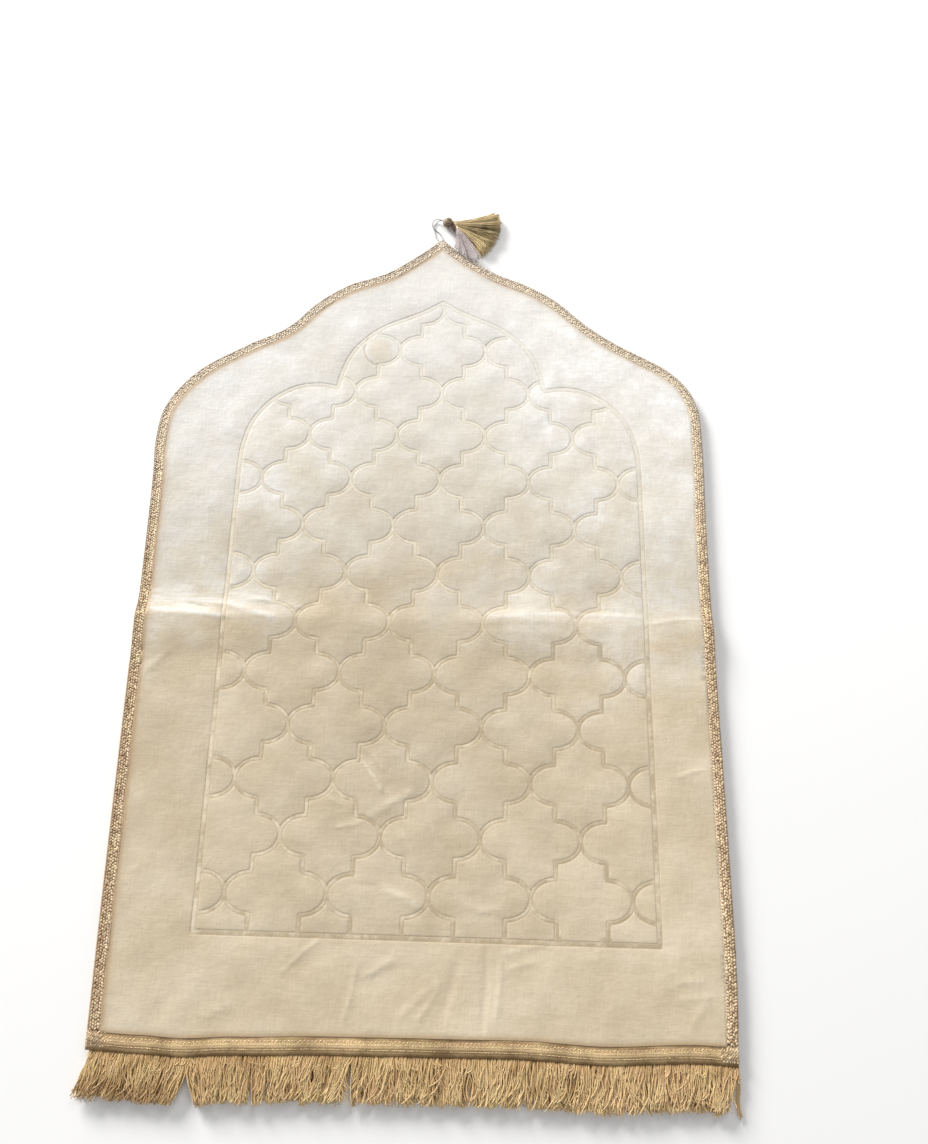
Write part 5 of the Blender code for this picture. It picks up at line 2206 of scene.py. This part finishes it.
# The thickness of the neck that they leave, and how fast they sink to their layer.
NECK_THICKNESS = 0.0050
SINKING = 4.5
GOLD_TIPS = (
    (0.0800, 0.5455),
    (0.0862, 0.5380),
    (0.0885, 0.5280),
    (0.0868, 0.5150),
    (0.0835, 0.5020),
    (0.0775, 0.4920),
    (0.0715, 0.4820),
    (0.0625, 0.4755),
)
WISP_TIPS = ((0.0640, 0.4650), (0.0540, 0.4590), (0.0400, 0.4660), (0.0250, 0.4800))


def skirt(count, tips, roots, bend, radius, heights, tone, seed):
    """Strands from the neck to a curve of tips. Roots are shares along the neck."""
    random = np.random.default_rng(seed)
    share = np.linspace(0.0, 1.0, count) + random.normal(0.0, FAN_UNEVEN, count)
    share = np.clip(share, 0.0, 1.0)
    curve = smooth_line(tips, 0.001)
    run = running_length(curve)
    tip = at_lengths(share * run[-1], run, curve)
    root_share = roots[0] + (roots[1] - roots[0]) * share
    root = (ROOT_TOP + (ROOT_LOW - ROOT_TOP) * root_share[:, None])[:, :2]
    root = root + random.normal(0.0, ROOT_UNEVEN, root.shape)
    tip = root + (tip - root) * random.uniform(*STRAND_LENGTHS, (count, 1))
    tip = tip + random.normal(0.0, TIP_UNEVEN, tip.shape)
    reach = np.linalg.norm(tip - root, axis=1)
    straight = np.arctan2(tip[:, 1] - root[:, 1], tip[:, 0] - root[:, 0])
    turn = straight + (AXIS_TURN - straight) * bend + random.normal(0.0, TURN_UNEVEN, count)
    control = root + np.column_stack((np.cos(turn), np.sin(turn))) * reach[:, None] * 0.5
    t = np.linspace(0.0, 1.0, SKIRT_RINGS)[None, :, None]
    flat = (1 - t) ** 2 * root[:, None] + 2 * t * (1 - t) * control[:, None]
    flat = flat + t**2 * tip[:, None]
    layer = random.uniform(0.0, 1.0, (count, 1))
    rest = heights[0] + (heights[1] - heights[0]) * layer
    start = ROOT_TOP[2] + (layer - 0.5) * NECK_THICKNESS
    t = t[:, :, 0]
    z = rest + (start - rest) * np.exp(-t * SINKING)
    radii = radius * random.uniform(0.8, 1.2, (count, 1)) * (0.8 + 0.2 * t)
    lines = np.dstack((flat, np.maximum(z, radii)))
    points, faces = tubes(lines, radii, SKIRT_SIDES)
    side_tone = SIDE_PALER * np.abs(share - 0.5)[:, None] - SIDE_LEVEL
    heart = bell(share - HEART_ALONG[0], HEART_ALONG[1])[:, None]
    heart = heart * bell(t - HEART_DOWN[0], HEART_DOWN[1])
    strand_tone = random.normal(tone, STRAND_TONE, (count, 1)) + side_tone
    strand_tone = strand_tone + TIP_PALER * (t - 0.4) - HEART_DARK * heart
    return points, faces, np.repeat(strand_tone.ravel(), SKIRT_SIDES)


# Each bundle: its strands, their tips, the share of the neck that they leave from, how
# they bend, their radius, lowest and highest place, tone and seed.
GOLD_STRANDS = (330, GOLD_TIPS, (0.0, 0.9), 0.35, 0.00052, (0.0006, 0.0092), 1.08, 53)
WISP_STRANDS = (64, WISP_TIPS, (0.80, 1.05), 0.12, 0.00032, (0.0106, 0.0116), 0.66, 54)
add_piece("tassel_skirt", *skirt(*GOLD_STRANDS), skirt_finish, "tassel", ["tassel"])
add_piece("tassel_wisps", *skirt(*WISP_STRANDS), wisp_finish, "tassel", ["tassel"])

# %% [markdown]
# ## The cloth
#
# The pad is a sheet of cloth that lies on the floor. A cloth simulation could lay it
# there, but it lies almost flat already.

# %% [markdown]
# ## Floor and light
#
# The floor is plain and almost white. A broad light stands beyond the arch, so the
# velvet of the upper half turns pale and the far side of the fold shines. A stronger one
# far off to the upper left stands low, so it draws the channels and the soft shadow to
# the right and below. A sun would make that shadow hard, and a room with walls would take
# long to render, so a plain white world fills the rest.

# %% Floor
floor_finish, floor_tree, floor_shader = new_material("pale_floor")
floor_shader.inputs["Roughness"].default_value = 0.9
floor_shader.inputs["Specular IOR Level"].default_value = 0.1
grain = floor_tree.nodes.new("ShaderNodeTexNoise")
grain.inputs["Scale"].default_value = 3.0
floor_color = mix_colors(floor_tree, grain.outputs["Fac"], (0.955,) * 3, (0.975,) * 3)
floor_tree.links.new(floor_color, floor_shader.inputs["Base Color"])
FLOOR_HALF = 6.0
floor_mesh = bpy.data.meshes.new("floor")
floor_corners = [
    (x * FLOOR_HALF, y * FLOOR_HALF, 0.0) for x, y in ((-1, -1), (1, -1), (1, 1), (-1, 1))
]
floor_mesh.from_pydata(floor_corners, [], [(0, 1, 2, 3)])
floor_mesh.materials.append(floor_finish)
floor = bpy.data.objects.new("floor", floor_mesh)
bpy.context.scene.collection.objects.link(floor)
print("Floor made")

# %% Lights


def softbox(name, place, target, size, power, color):
    """A rectangular light that faces its target."""
    data = bpy.data.lights.new(name, "AREA")
    data.shape = "RECTANGLE"
    data.size, data.size_y = size
    data.energy = power
    data.color = color
    light = bpy.data.objects.new(name, data)
    light.location = place
    toward = Vector(target) - Vector(place)
    light.rotation_euler = toward.to_track_quat("-Z", "Y").to_euler()
    bpy.context.scene.collection.objects.link(light)
    return light


softbox("arch_light", (0.45, 1.75, 1.85), (0.0, 0.25, 0.0), (1.3, 1.0), 15.0, (1.0, 1.0, 1.0))
softbox("key_light", (-5.6, 7.3, 3.1), (0.0, 0.0, 0.0), (3.9, 2.8), 1560.0, (1.0, 0.99, 0.97))
world = bpy.data.worlds.new("studio")
world.use_nodes = True
background = world.node_tree.nodes["Background"]
background.inputs["Color"].default_value = (1.0, 1.0, 1.0, 1.0)
background.inputs["Strength"].default_value = 0.44
bpy.context.scene.world = world
bpy.context.scene.view_settings.view_transform = "Standard"
print("Lights made")
